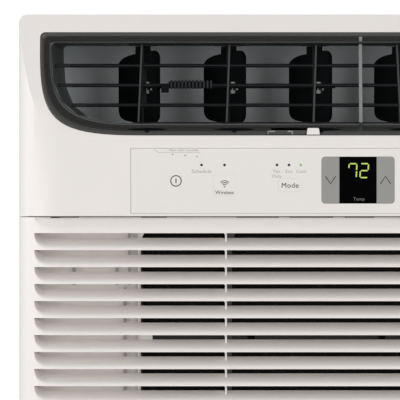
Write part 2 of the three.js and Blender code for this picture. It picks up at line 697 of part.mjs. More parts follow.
const LUG = { x0: 199, x1: 207, r: 3.2, arm: 2.5 };
// Lips on the door's top edge that close the seam, with breaks between them.
const LIPS = [
  [-192.7, -150.2],
  [-131.8, -84],
  [-54.6, -47.2],
  [-16.8, -9.2],
  [11.5, 40],
  [62, 96],
  [140, 214],
];
const KNUCKLES = [[194.2, 197.2], [208.8, 211.8]];
const FILTER_GUIDE = [-152.6, -150.5]; // upright behind the slots, beside the filter
const HINGE_PIN = 1.7;
const mirrored = ([a, b]) => [[a, b], [-b, -a]];
const hingeBores = () =>
  mirrored([190, 216]).map(([a, b]) => rodX(HINGE_PIN + GAP, a, b, DOOR.hingeY, DOOR.hingeZ, 8));

function intakeGrille() {
  const shellBack = FRONT + SLOT.depth;
  const outer = prismZ(frontPlan(HALF, FRONT, DOOR.back, CORNER.x, CORNER.y), DOOR.bottom, DOOR.top, 5);
  const hollow = prismZ(
    frontPlan(HALF - WALL, shellBack, DOOR.back + 1, CORNER.x - 6, 8),
    DOOR.bottom + 2.6,
    DOOR.top - WALL,
    3,
  );
  const foot = block([-HALF + 26.5, HALF - 26.5], [FRONT + 2.6, DOOR.back + 1], [DOOR.bottom + 2.6, 21]);
  const behind = DOOR.back + 1;
  const slant = [[behind, DOOR.bottom - 1], [behind, 12], [DOOR.back, 10], [-253.5, 4], [-254, 3]];
  const heel = prismX(polygon(slant), -HALF - 1, HALF + 1);
  const notches = mirrored([LUG.x0 - 1.5, LUG.x1 + 1.5]).map((x) => block(x, [FRONT + 4.5, -250], [3, 7]));
  const slots = Array.from({ length: SLOT.count }, (_, k) => grilleSlot(k, SLOT.depth + 3));
  const shell = cut(outer, hollow, foot, heel, ...notches, ...slots, grilleSlot(-1, RECESS_DEPTH));
  const ribs = [-GRILLE_RIB_X, GRILLE_RIB_X].map((x) =>
    block([x - 0.65, x + 0.65], [FRONT + 7, FRONT + 14.7], [19, 197]),
  );
  const filterGuide = block(FILTER_GUIDE, [FRONT + 10, -251.5], [20, 197]);
  const lipDepth = [FRONT + RECESS_DEPTH, FRONT + RECESS_DEPTH + 3];
  const lips = LIPS.map((x) => block(x, lipDepth, [DOOR.top - 1, SEAM - GAP]));
  const knuckles = KNUCKLES.flatMap(mirrored).map((x) =>
    block(x, [FRONT + 1.5, DOOR.hingeY + 3.6], [DOOR.bottom + 1, DOOR.hingeZ + 3.6]),
  );
  return cut(join(shell, ...ribs, ...lips, filterGuide, ...knuckles), ...hingeBores());
}

add("intake_grille", intakeGrille(), WHITE_PLASTIC);

const FILTER = {
  x0: -150.2,
  x1: 221.5,
  z0: 15,
  z1: 195.4,
  front: -258,
  back: -253.2,
  bar: 4.4,
  edge: 1.2,
  mid: 116.4,
  midHalf: 2.6,
  notches: [[-76.2, -71], [14.2, 19.4]],
};

function filterFrame() {
  const { x0, x1, z0, z1, front, back, bar, edge, mid, midHalf } = FILTER;
  const window = (a, b) => block([x0 + edge, x1 - bar], [front - 1, back + 1], [a, b]);
  const plate = block([x0, x1], [front, back], [z0, z1]);
  const notch = (x) => block(x, [front - 1, back + 1], [mid - midHalf - 1, mid + midHalf - 0.8]);
  const notches = FILTER.notches.map(notch);
  return cut(plate, window(z0 + bar, mid - midHalf), window(mid + midHalf, z1 - bar), ...notches);
}

add("filter_frame", filterFrame(), FILTER_DARK);
add(
  "filter_mesh",
  block(
    [FILTER.x0 + 1, FILTER.x1 - 1],
    [FILTER.back + GAP, FILTER.back + 0.9],
    [FILTER.z0 + 1, FILTER.z1 - 1],
  ),
  FILTER_DARK,
);

// ---------------------------------------------------------------- front frame and hinge
const FRAME = { front: DOOR.back + GAP, back: FRONT_BACK, bottom: 2.5, top: 199.6 };
const COVER = { x0: -222, x1: -152.6, z0: 22, z1: 192 };

function frontFrame() {
  const { front, back, bottom, top } = FRAME;
  const hollow = block([-HALF + WALL, HALF - WALL], [front + WALL, back + 1], [bottom + WALL, top - 2.4]);
  const through = [front - 1, front + WALL + 1];
  const intake = block([INTAKE.left, INTAKE.right], through, [INTAKE.bottom, INTAKE.top]);
  const box = block([COVER.x0, COVER.x1], through, [COVER.z0, COVER.z1]);
  const lip = [HALF - SHELL_LIP - 0.5, HALF - 0.5];
  const sides = mirrored(lip).map((x) => block(x, [back - WALL, back], [bottom + 1, top - 1]));
  const outer = block([-HALF, HALF], [front, back], [bottom, top]);
  const shell = join(cut(outer, hollow, intake, box), ...sides);
  const lugs = mirrored([LUG.x0, LUG.x1]).map(([x0, x1]) =>
    join(
      block([x0, x1], [DOOR.hingeY, front + 1], [DOOR.hingeZ - LUG.arm, DOOR.hingeZ + LUG.arm]),
      rodX(LUG.r, x0, x1, DOOR.hingeY, DOOR.hingeZ, 12),
    ),
  );
  return cut(join(shell, ...lugs), ...hingeBores());
}

add("front_frame", frontFrame(), WHITE_PLASTIC);
mirrored([193, 213]).forEach(([x0, x1], i) => {
  const pin = rodX(HINGE_PIN - 0.1, x0, x1, DOOR.hingeY, DOOR.hingeZ, 8);
  add(`door_hinge_pin_${i ? "left" : "right"}`, pin, GALVANISED);
});

function electricalCover() {
  const plate = block([COVER.x0 + GAP, COVER.x1 - GAP], [-249.8, -247.8], [COVER.z0 + GAP, COVER.z1 - GAP]);
  return join(
    plate,
    block([-159.2, -157.6], [-253, -249], [155, 190]),
    block([-162.4, -160.3], [-253, -249], [84, 153]),
    block([-198, -195.6], [-253, -249], [152, 163.5]),
    block([-168, -165.8], [-253, -249], [152, 163.5]),
  );
}

add("electrical_box_cover", electricalCover(), WHITE_PLASTIC);

// ---------------------------------------------------------------- steel case
function cabinet() {
  const { side, top, bottom, front } = CASE;
  const outer = prismY(rectangle(-side, side, bottom - 10, top, 5), front, REAR, 3);
  const inside = rectangle(-side + SHEET, side - SHEET, bottom - 20, top - SHEET, 4);
  const inner = prismY(inside, front - 1, REAR + 1, 3);
  const floor = block([-side - 1, side + 1], [front - 1, REAR + 1], [bottom - 20, bottom]);
  const louvres = Array.from({ length: 9 }, (_, i) => {
    const z = 190 + i * 13;
    return block([-side - 1, side + 1], [40, 168], [z, z + 4]);
  });
  const gland = rodX(GLAND.hole, -side - 1, -side + 3, GLAND.y, GLAND.z, 12);
  return cut(outer, inner, floor, ...louvres, gland);
}

add("cabinet", cabinet(), CASE_PAINT);

function basePan() {
  const { side, front, rear, floor, lip } = PAN;
  const tray = cut(
    block([-side, side], [front, rear], [0, lip]),
    block([-side + SHEET, side - SHEET], [front + SHEET, rear - SHEET], [floor, lip + 1]),
  );
  const beads = [-190, 190].map((x) => block([x - 8, x + 8], [-90, 160], [floor - 0.5, floor + 2.2]));
  return join(tray, ...beads);
}

add("base_pan", basePan(), GALVANISED);

// Span of the upright walls inside the case.
const WALL_X = [-226.6, 226.6];
const WALL_Z = [2.1, CASE.top - SHEET - GAP - 0.2];

function rearPanel() {
  const plate = block(WALL_X, [262, 262 + SHEET], WALL_Z);
  const window = block([-198, 198], [261, 265], [38, 314]);
  const bars = [-99, 0, 99].map((x) => block([x - 2, x + 2], [262, 263.2], [36, 316]));
  return join(cut(plate, window), ...bars);
}

add("rear_panel", rearPanel(), CASE_PAINT);

function bulkhead() {
  const plate = block(WALL_X, [BULKHEAD_Y, BULKHEAD_Y + SHEET], WALL_Z);
  const { x0, x1, z0, z1 } = VENT_FLAP;
  return cut(
    plate,
    block([x0, x1], [BULKHEAD_Y - 1, BULKHEAD_Y + 3], [z0, z1]),
    block([204, 223], [BULKHEAD_Y - 1, BULKHEAD_Y + 3], [10, 42]),
    rodY(9, BULKHEAD_Y - 1, BULKHEAD_Y + 3, AXIS.x, AXIS.z, 16),
  );
}

add("bulkhead", bulkhead(), GALVANISED);

// Its nose ends flush with the case's side; the flange is inside.
function cordGland() {
  const { y, z, r, flange, bore } = GLAND;
  const inside = -CASE.side + SHEET + GAP;
  const nose = rodX(r, -CASE.side + 0.1, inside + 8, y, z, 12);
  const rim = rodX(flange, inside, inside + 2.5, y, z, 16);
  return cut(join(nose, rim), rodX(bore, -CASE.side - 1, inside + 9, y, z, 8));
}

add("cord_gland", cordGland(), BLACK_PLASTIC);

// ---------------------------------------------------------------- coils
// A fin pack with its fins standing as a comb on one face.
function finPack({ x0, x1, y0, y1, z0, z1 }, fins, combFront) {
  const pitch = (x1 - x0) / fins;
  const [tip, root] = combFront ? [y0, y0 + 12] : [y1, y1 - 12];
  const comb = [];
  for (let i = 0; i < fins; i++) {
    const x = x0 + i * pitch;
    comb.push([x, tip], [x + pitch * 0.45, tip], [x + pitch * 0.45, root], [x + pitch, root]);
  }
  const flat = combFront ? y1 : y0;
  comb[comb.length - 1] = [x1, root];
  return prismZ(polygon([...comb, [x1, flat], [x0, flat]]), z0, z1);
}

// A tube sheet with a column of return bends standing out from it, towards side +1 or -1.
function returnBends({ y0, y1, z1 }, xSheet, side, foot, bends, reach) {
  const inside = xSheet + 1.4 * side;
  const sheet = block([Math.min(xSheet, inside), Math.max(xSheet, inside)], [y0, y1], [foot, z1]);
  const y = (y0 + y1) / 2;
  const pitch = (z1 - foot - 30) / bends;
  const loops = Array.from({ length: bends }, (_, i) => {
    const z = foot + 22 + pitch * i;
    const h = pitch * 0.5;
    const far = xSheet + side * reach * 0.7;
    return tube([[xSheet, y, z], [far, y, z], [far, y, z + h], [xSheet, y, z + h]], 3.5, 6, 5);
  });
  return join(sheet, ...loops);
}

add("evaporator_coil", finPack(EVAPORATOR, 26, true), ALUMINIUM);
add("evaporator_tubes", returnBends(EVAPORATOR, EVAPORATOR.x1 + GAP, 1, 9, 3, 10), COPPER);
add("condenser_coil", finPack(CONDENSER, 28, false), ALUMINIUM);
add("condenser_tubes", returnBends(CONDENSER, CONDENSER.x0 - GAP, -1, 2, 4, 12), COPPER);

function drainPan() {
  return cut(
    block([-148.5, 222], [-213, -168], [2, 26]),
    block([-143, 217], [-209, -171], [8, 27]),
  );
}

add("drain_pan", drainPan(), FOAM);

// ---------------------------------------------------------------- blower, fan and motor
function spiral(grow) {
  const { x, z } = AXIS;
  const shape = new THREE.Shape();
  const steps = 16;
  for (let i = 0; i <= steps; i++) {
    const t = i / steps;
    const a = THREE.MathUtils.degToRad(50 - 230 * t);
    const r = 97 + 38 * t + grow;
    const point = [x + r * Math.cos(a), z + r * Math.sin(a)];
    if (i === 0) shape.moveTo(...point);
    else shape.lineTo(...point);
  }
  const over = SCROLL.top - (grow < 0 ? -1 : 0);
  shape.lineTo(SCROLL.neckLeft - grow, over);
  shape.lineTo(SCROLL.neckRight + grow, over);
  shape.closePath();
  return shape;
}

function blowerScroll() {
  const { front, back } = SCROLL;
  return cut(
    prismY(spiral(0), front, back),
    prismY(spiral(-1.8), front + 1.6, back - 1.6),
    rodY(74, front - 1, front + 2, AXIS.x, AXIS.z, 20),
    rodY(9, back - 2, back + 1, AXIS.x, AXIS.z, 10),
  );
}

add("blower_scroll", blowerScroll(), FOAM);

const SHAFT_R = 5;

function blowerWheel() {
  const { r, front, back } = WHEEL;
  const { x, z } = AXIS;
  const ring = cut(rodY(r, front, front + 3, x, z, 20), rodY(r - 13, front - 1, front + 4, x, z, 20));
  const disc = rodY(r, back - 2, back, x, z, 20);
  const hub = rodY(14, back - 18, back, x, z, 12);
  const blades = Array.from({ length: 12 }, (_, i) => {
    const a = (2 * Math.PI * i) / 12;
    const blade = new THREE.BoxGeometry(12, back - front - 2, 1.2).rotateY(0.6);
    blade.translate(r - 6.8, 0, 0).rotateY(a).translate(x, (front + back) / 2, z);
    return solid(blade);
  });
  return cut(join(ring, disc, hub, ...blades), rodY(SHAFT_R + GAP + 0.1, back - 20, back + 1, x, z, 10));
}

function condenserFan() {
  const { r, front, back } = FAN;
  const { x, z } = AXIS;
  const middle = (front + back) / 2;
  const hub = rodY(28, front, back, x, z, 16);
  const hoop = (radius, half) => rodY(radius, middle - half, middle + half, x, z, 24);
  const ring = cut(hoop(r, 5), hoop(r - 3, 6));
  const blades = Array.from({ length: 5 }, (_, i) => {
    const blade = new THREE.BoxGeometry(r - 24, 1.8, 58).rotateX(0.38);
    blade.translate((r + 21) / 2, 0, 0).rotateY((2 * Math.PI * i) / 5).translate(x, middle, z);
    return solid(blade);
  });
  const trim = cut(hoop(r + 30, 33), hoop(r - 1.5, 34));
  const bore = rodY(SHAFT_R + GAP + 0.1, front - 1, back + 1, x, z, 10);
  return cut(join(hub, ring, ...blades.map((b) => cut(b, trim))), bore);
}

add("blower_wheel", blowerWheel(), BLACK_PLASTIC);
add("condenser_fan", condenserFan(), BLACK_PLASTIC);
add("motor_shaft", rodY(SHAFT_R, -135, FAN.back - 2, AXIS.x, AXIS.z, 10), GALVANISED);

function fanMotor() {
  const { x, z } = AXIS;
  const can = join(rodY(55, -52, 12, x, z, 20), rodY(38, -60, 20, x, z, 14));
  return cut(can, rodY(SHAFT_R + GAP + 0.1, -61, 21, x, z, 10));
}

add("fan_motor", fanMotor(), BLACK_STEEL);

function motorBracket() {
  const { x, z } = AXIS;
  return cut(
    block([x - 60, x + 60], [-44, 4], [2, z - 4]),
    block([x - 57, x + 57], [-45, 5], [5, 88]),
    rodY(56, -50, 10, x, z, 20),
  );
}

add("motor_bracket", motorBracket(), GALVANISED);

function fanShroud() {
  const frame = cut(
    block([-201.4, 201.4], [190, CONDENSER.y0 - GAP], [2, 322]),
    block([-199.8, 199.8], [191.2, CONDENSER.y0 + 1], [3.2, 320.8]),
  );
  const collar = rodY(FAN.r + 7.5, 174, 191, AXIS.x, AXIS.z, 24);
  return cut(join(frame, collar), rodY(FAN.r + 5.5, 173, 192, AXIS.x, AXIS.z, 24));
}

add("fan_shroud", fanShroud(), GALVANISED);

// ---------------------------------------------------------------- compressor and refrigerant lines
function compressor() {
  const { x, y, r } = COMPRESSOR;
  const profile = [[0, 34], [42, 34], [r, 46], [r, 204], [r - 8, 217], [30, 225], [0, 226.5]];
  const can = new THREE.LatheGeometry(profile.map((p) => new THREE.Vector2(...p)), 20).rotateX(Math.PI / 2);
  const corners = [30, 150, 270].map((deg) => THREE.MathUtils.degToRad(deg));
  const out = (a, reach) => [x + reach * Math.cos(a), y + reach * Math.sin(a)];
  const plate = prismZ(polygon(corners.map((a) => out(a, 104))), 30.5, 35);
  const trim = rodZ(72, 2, 36, x, y, 20);
  const feet = corners.map((a) => rodZ(6.5, 4.4, 32, ...out(a, 63), 8));
  const terminals = block([x + r - 6, x + r + 10], [y - 16, y + 16], [120, 168]);
  return join(solid(can.translate(x, y, 0)), plate.intersect(trim), ...feet, terminals);
}

add("compressor", compressor(), BLACK_STEEL);

// Suction: the accumulator, its bend into the compressor, and the long run from the evaporator.
function suctionLine() {
  const bend = tube([[-160, -30, 180], [-160, -30, 206], [-158, -12, 212], [-154, 1.9, 204]], 4, 9, 6);
  const path = [
    [-160, -30, 64],
    [-160, -34, 30],
    [-150, -60, 18],
    [0, -78, 18],
    [170, -84, 18],
    [212, -104, 24],
    [214, -140, 40],
    [220, -184, 60],
  ];
  const run = tube(path, 4, 26, 6);
  return join(rodZ(25, 60, 190, -160, -30, 14), bend, run);
}

add("suction_line", suctionLine(), COPPER);

function dischargeLine() {
  const path = [
    [-150, 60, 227],
    [-150, 60, 262],
    [-166, 84, 284],
    [-206, 140, 292],
    [-219, 190, 290],
    [-219, 228, 270],
  ];
  return tube(path, 4, 18, 6);
}

add("discharge_line", dischargeLine(), COPPER);

function runCapacitor() {
  const can = join(rodZ(21, 40, 128, -188, -160, 16), rodZ(19, 128, 132, -188, -160, 16));
  const strap = block([-194, -182], [-142, BULKHEAD_Y - GAP], [70, 82]);
  return join(can, strap);
}

add("run_capacitor", runCapacitor(), ALUMINIUM);

export default unit;
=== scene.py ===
"""Window air conditioner: the looks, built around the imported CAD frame.

Sizes are in millimetres until a mesh is made.
"""

import math

import bmesh
import bpy
from mathutils import Matrix, Vector


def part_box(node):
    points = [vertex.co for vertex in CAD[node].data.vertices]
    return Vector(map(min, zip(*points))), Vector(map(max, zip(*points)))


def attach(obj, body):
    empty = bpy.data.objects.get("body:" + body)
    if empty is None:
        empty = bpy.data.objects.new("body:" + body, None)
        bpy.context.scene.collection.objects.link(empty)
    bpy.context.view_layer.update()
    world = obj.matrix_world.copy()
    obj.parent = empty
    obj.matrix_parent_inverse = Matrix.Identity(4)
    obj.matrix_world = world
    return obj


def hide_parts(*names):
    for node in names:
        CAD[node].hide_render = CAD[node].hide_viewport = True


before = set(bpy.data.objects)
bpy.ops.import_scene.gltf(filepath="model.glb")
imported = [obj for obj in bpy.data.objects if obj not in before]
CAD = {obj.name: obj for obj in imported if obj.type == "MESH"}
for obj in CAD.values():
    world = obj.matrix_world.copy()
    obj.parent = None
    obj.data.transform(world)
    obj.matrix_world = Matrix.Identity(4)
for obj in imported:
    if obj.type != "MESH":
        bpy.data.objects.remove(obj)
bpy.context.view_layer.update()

MM = 0.001


def extent(node):
    """Lowest and highest corner of a CAD node, in millimetres."""
    low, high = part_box(node)
    return low / MM, high / MM


# ---------------- dimensions taken from the frame
shell_low, shell_high = extent("front_escutcheon")
HALF, FRONT, HEIGHT, SEAM = shell_high.x, shell_low.y, shell_high.z, shell_low.z
SHELL_BACK = shell_high.y
door_low, door_high = extent("intake_grille")
film_low, film_high = extent("control_overlay")
case_high = extent("cabinet")[1]
LEAN_START = 252
LEAN = 17 / 88
WALL = 3
CORNER = (32, 20)
TOP_RADIUS = 6
FILM_FACE = FRONT + 0.06
INK_FACE = FRONT + 0.01


def face_y(z):
    """Where the front face is at a height: flat, then leaning back."""
    return FRONT + max(0, z - LEAN_START) * LEAN


# ---------------- outlines
def arc(cx, cy, rx, ry, start, end, steps):
    """Points of an elliptical arc, in degrees, ends included."""
    turns = [math.radians(start + (end - start) * i / steps) for i in range(steps + 1)]
    return [(cx + rx * math.cos(t), cy + ry * math.sin(t)) for t in turns]


def bezier(p0, p1, p2, p3, steps):
    """Points of a cubic curve, ends included."""
    points = []
    for i in range(steps + 1):
        t = i / steps
        s = 1 - t
        weights = (s * s * s, 3 * s * s * t, 3 * s * t * t, t * t * t)
        points.append(tuple(sum(w * p[k] for w, p in zip(weights, (p0, p1, p2, p3))) for k in (0, 1)))
    return points


def clean(points):
    """The points without repeats, also between the last and the first."""
    return [p for i, p in enumerate(points) if math.dist(p, points[i - 1]) > 1e-4]


def rounded(x0, x1, z0, z1, r, steps=6):
    """A rectangle with round corners."""
    corners = [(x1 - r, z0 + r, -90), (x1 - r, z1 - r, 0), (x0 + r, z1 - r, 90), (x0 + r, z0 + r, 180)]
    return clean([p for cx, cy, a in corners for p in arc(cx, cy, r, r, a, a + 90, steps)])


def mirrored(spans):
    """The spans, then their mirror images on the left."""
    return [*spans, *((-b, -a) for a, b in spans)]


def front_plan(half, front, back, rx, ry, steps=16):
    """The front's outline from above: an open box with round front corners."""
    left = arc(-half + rx, front + ry, rx, ry, 180, 270, steps)
    right = arc(half - rx, front + ry, rx, ry, 270, 360, steps)
    return clean([(-half, back), *left, *right, (half, back)])


MOUTH = dict(side=220.2, top=327.6, r=3.6, foot=318.2, knee=266.4, toe=212.8, bottom=255.7, flat=150.6)
THROAT = dict(side=212.7, top=320.3, r=3.0, foot=314.8, knee=274.7, toe=200.4, bottom=264.3, flat=150.6)


def grown(outline, by):
    """The outlet's outline, larger all round."""
    moved = dict(side=by, top=by, knee=-by, toe=by, bottom=-by)
    return {key: value + moved.get(key, 0) for key, value in outline.items()}


def outlet(o, steps=20):
    """The outlet's outline in X and Z: small top corners, and bottom corners drawn as wide curves."""
    side, top, r, bottom, flat = o["side"], o["top"], o["r"], o["bottom"], o["flat"]
    corner = arc(side - r, top - r, r, r, 0, 90, 6)
    curve = bezier((side, o["foot"]), (side + 0.4, o["knee"]), (o["toe"], bottom), (flat, bottom), steps)
    right = list(reversed(curve)) + corner
    return clean(right + [(-x, z) for x, z in reversed(right)])


# ---------------- meshes
def place(axis, u, v, w):
    """A point from two coordinates across an axis and one along it."""
    return {"X": (w, u, v), "Y": (u, w, v), "Z": (u, v, w)}[axis]


def linked(name, data):
    """A new object in the scene that shows the data."""
    obj = bpy.data.objects.new(name, data)
    bpy.context.scene.collection.objects.link(obj)
    return obj


def solid(name, points, faces):
    """An object from points in millimetres, with its faces turned outward."""
    mesh = bpy.data.meshes.new(name)
    mesh.from_pydata([tuple(c * MM for c in p) for p in points], [], faces)
    shape = bmesh.new()
    shape.from_mesh(mesh)
    bmesh.ops.recalc_face_normals(shape, faces=shape.faces)
    shape.to_mesh(mesh)
    shape.free()
    return linked(name, mesh)


def loft(name, loops, ring=False):
    """A skin through matching loops: closed by end faces, or by joining the last loop to the first."""
    n, m = len(loops[0]), len(loops)
    points = [p for loop in loops for p in loop]
    faces = []
    for i in range(m if ring else m - 1):
        a, b = i * n, (i + 1) % m * n
        faces += [(a + j, a + (j + 1) % n, b + (j + 1) % n, b + j) for j in range(n)]
    if not ring:
        faces += [tuple(range(n - 1, -1, -1)), tuple(range((m - 1) * n, m * n))]
    return solid(name, points, faces)


def prism(name, outline, axis, low, high):
    """An outline drawn out along an axis, from low to high."""
    return loft(name, [[place(axis, u, v, w) for u, v in outline] for w in (low, high)])


def box(name, xs, ys, zs):
    """A block from its spans."""
    return prism(name, [(xs[0], zs[0]), (xs[1], zs[0]), (xs[1], zs[1]), (xs[0], zs[1])], "Y", *ys)


def rod(name, axis, r, low, high, u, v, sides=24):
    """A round bar along an axis, its centre at (u, v)."""
    return prism(name, arc(u, v, r, r, 0, 360, sides)[:-1], axis, low, high)


def merge(name, objects):
    """Several meshes as one object."""
    mesh = bpy.data.meshes.new(name)
    shape = bmesh.new()
    for o in objects:
        part = o.data.copy()
        part.transform(o.matrix_world)
        shape.from_mesh(part)
        bpy.data.meshes.remove(part)
        bpy.data.objects.remove(o)
    shape.to_mesh(mesh)
    shape.free()
    return linked(name, mesh)


def combine(obj, tools, operation="DIFFERENCE"):
    """The object cut by, joined with or kept inside other objects, which are used up."""
    for tool in tools:
        modifier = obj.modifiers.new("shape", "BOOLEAN")
        modifier.object = tool
        modifier.operation = operation
        modifier.solver = "EXACT"
    bpy.context.view_layer.update()
    made = obj.evaluated_get(bpy.context.evaluated_depsgraph_get())
    mesh = bpy.data.meshes.new_from_object(made)
    obj.modifiers.clear()
    obj.data = mesh
    for tool in tools:
        bpy.data.objects.remove(tool)


def union(name, objects):
    """Several solids joined into the first."""
    first = objects[0]
    combine(first, objects[1:], "UNION")
    first.name = name
    return first


def finish(obj, material, edge=0.0, angle=38, segments=2):
    """One look all over, and smooth shading with sharp edges kept and a small round on them."""
    obj.data.materials.clear()
    obj.data.materials.append(material)
    obj.data.shade_smooth()
    obj.data.set_sharp_from_angle(angle=math.radians(angle))
    if edge:
        bevel = obj.modifiers.new("edge", "BEVEL")
        bevel.width = edge * MM
        bevel.segments = segments
        bevel.limit_method = "ANGLE"
        bevel.angle_limit = math.radians(angle)
        bevel.harden_normals = True
        bevel.use_clamp_overlap = True


def piece(obj, body, material, replaces=(), edge=0.0, angle=38, segments=2):
    """Finishes a Blender piece: look, body and the CAD nodes that it stands for."""
    finish(obj, material, edge, angle, segments)
    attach(obj, body)
    if replaces:
        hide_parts(*replaces)


def dress(node, material, edge=0.0):
    """Finishes a CAD node that is shown as it is."""
    finish(CAD[node], material, edge)


# ---------------- materials
def add_node(tree, kind, inputs=(), **settings):
    """A new shader node. Each of its inputs takes a value or another node's output."""
    made = tree.nodes.new("ShaderNode" + kind)
    for name, value in settings.items():
        setattr(made, name, value)
    for socket, value in dict(inputs).items():
        if isinstance(value, bpy.types.NodeSocket):
            tree.links.new(value, made.inputs[socket])
        else:
            made.inputs[socket].default_value = value
    return made


def mix(tree, factor, first, second):
    """A colour between two others, each a colour or another node's output."""
    first, second = ((*c, 1) if isinstance(c, tuple) else c for c in (first, second))
    return add_node(tree, "Mix", {0: factor, 6: first, 7: second}, data_type="RGBA").outputs[2]


def noise(tree, where, scale, detail):
    """Cloudy unevenness between 0 and 1."""
    return add_node(tree, "TexNoise", {"Scale": scale, "Detail": detail, "Vector": where}).outputs["Fac"]


def relief(tree, height, strength, distance):
    """Shades the surface as if it were raised by a height, at most by a distance in metres."""
    made = add_node(tree, "Bump", {"Strength": strength, "Distance": distance, "Height": height})
    tree.links.new(made.outputs["Normal"], tree.nodes["Principled BSDF"].inputs["Normal"])


COAT_ROUGHNESS = 0.08
GRAIN_DEPTH = 0.0002


def surface(name, colour, roughness, metallic=0.0, mottle=0.03, mottle_scale=40.0, uneven=0.06,
            grain=0.0, grain_scale=1800.0, coat=0.0, dust=None, specular=0.5):
    """A procedural surface: uneven colour and roughness, a fine grain, and dust towards the upper faces."""
    material = bpy.data.materials.new(name)
    material.use_nodes = True
    tree = material.node_tree
    shader = tree.nodes["Principled BSDF"]
    shader.inputs["Metallic"].default_value = metallic
    shader.inputs["Specular IOR Level"].default_value = specular
    shader.inputs["Coat Weight"].default_value = coat
    shader.inputs["Coat Roughness"].default_value = COAT_ROUGHNESS
    where = add_node(tree, "TexCoord").outputs["Object"]
    darker = tuple(c * (1 - mottle) for c in colour)
    lighter = tuple(min(1.0, c * (1 + mottle)) for c in colour)
    result = mix(tree, noise(tree, where, mottle_scale, 4), darker, lighter)
    if dust:
        shade, amount = dust
        normal = add_node(tree, "NewGeometry").outputs["Normal"]
        upward = add_node(tree, "SeparateXYZ", {0: normal}).outputs["Z"]
        up = add_node(tree, "MapRange", {"From Min": 0.2, "To Max": amount, "Value": upward}).outputs[0]
        patches = noise(tree, where, mottle_scale * 3, 6)
        cover = add_node(tree, "Math", {0: up, 1: patches}, operation="MULTIPLY").outputs[0]
        result = mix(tree, cover, result, shade)
    tree.links.new(result, shader.inputs["Base Color"])
    ends = {"To Min": max(0.02, roughness - uneven), "To Max": min(1.0, roughness + uneven)}
    spread = add_node(tree, "MapRange", {**ends, "Value": noise(tree, where, mottle_scale * 5, 5)})
    tree.links.new(spread.outputs[0], shader.inputs["Roughness"])
    if grain:
        relief(tree, noise(tree, where, grain_scale, 3), grain, GRAIN_DEPTH)
    return material


def glowing(name, colour, strength):
    """A plain surface that gives off light of its own colour."""
    material = surface(name, tuple(c * 0.5 for c in colour), 0.4, mottle=0.08, mottle_scale=900)
    shader = material.node_tree.nodes["Principled BSDF"]
    shader.inputs["Emission Color"].default_value = (*colour, 1)
    shader.inputs["Emission Strength"].default_value = strength
    return material


WHITE = surface("white_plastic", (0.885, 0.845, 0.815), 0.42, grain=0.10, grain_scale=2200, mottle=0.012)
FILM = surface("strip_film", (0.862, 0.834, 0.80), 0.36, grain=0.05, grain_scale=3500, mottle=0.01)
BEZEL = surface("bezel_gloss", (0.056, 0.056, 0.054), 0.26, coat=0.3, uneven=0.02, mottle=0.05,
                mottle_scale=12)
BLADE = surface("louvre_black", (0.010, 0.0125, 0.0135), 0.5, grain=0.12, grain_scale=1600, mottle=0.1,
                specular=0.3)
MATT_GRAIN = dict(grain=0.12, grain_scale=1500)
# Black of the vanes and other dark plastic, also used as painted shade in the pivot pits.
VANE_BLACK_AND_PIT_SHADE = surface("vane_black_and_pit_shade", (0.0025, 0.0035, 0.004), 0.5, mottle=0.15, specular=0.2, **MATT_GRAIN)
LINK = surface("link_black", (0.0025, 0.0032, 0.0035), 0.5, mottle=0.12, specular=0.08, **MATT_GRAIN)
RIB = surface("grip_rib", (0.014, 0.0165, 0.0175), 0.45, mottle=0.1, specular=0.25, **MATT_GRAIN)
UPRIGHT = surface("upright_grey", (0.038, 0.042, 0.043), 0.45, grain=0.1, grain_scale=1500, mottle=0.08)
# Painted shade for the seam over the grille door: a grey strip colour and a near-black one.
SEAM_SHADE_GREY = surface("seam_shade_grey", (0.45, 0.435, 0.42), 0.8, grain=0.3, mottle=0.1, mottle_scale=400)
SEAM_SHADE_BLACK = surface("seam_shade_black", (0.02, 0.019, 0.018), 0.8, grain=0.3, mottle=0.1, mottle_scale=400,
                     specular=0.2)
FELT = surface("felt_pad", (0.085, 0.08, 0.075), 0.9, grain=0.5, mottle=0.2, mottle_scale=300)
# Painted shade for the dark slits and holes in the electrical box cover.
COVER_SLIT_SHADE = surface("cover_slit_shade", (0.40, 0.385, 0.37), 0.6, grain=0.2, mottle=0.1, mottle_scale=400)
# Pale grey of the lamp guides, also used as painted highlight on the vanes' link pins.
PALE_GREY_AND_PIN_HIGHLIGHT = surface("pale_grey_and_pin_highlight", (0.34, 0.34, 0.34), 0.4, grain=0.1, mottle=0.08)
DIVIDER = surface("divider_grey", (0.24, 0.245, 0.25), 0.38, grain=0.08, mottle=0.04)
KEY = surface("key_grey", (0.315, 0.312, 0.295), 0.5, grain=0.12, grain_scale=2600, mottle=0.02)
LENS = surface("display_black", (0.0006, 0.0006, 0.0010), 0.12, mottle=0.2, uneven=0.03, specular=0.04)
INK = surface("ink_dark", (0.085, 0.085, 0.088), 0.6, mottle=0.1, mottle_scale=2500)
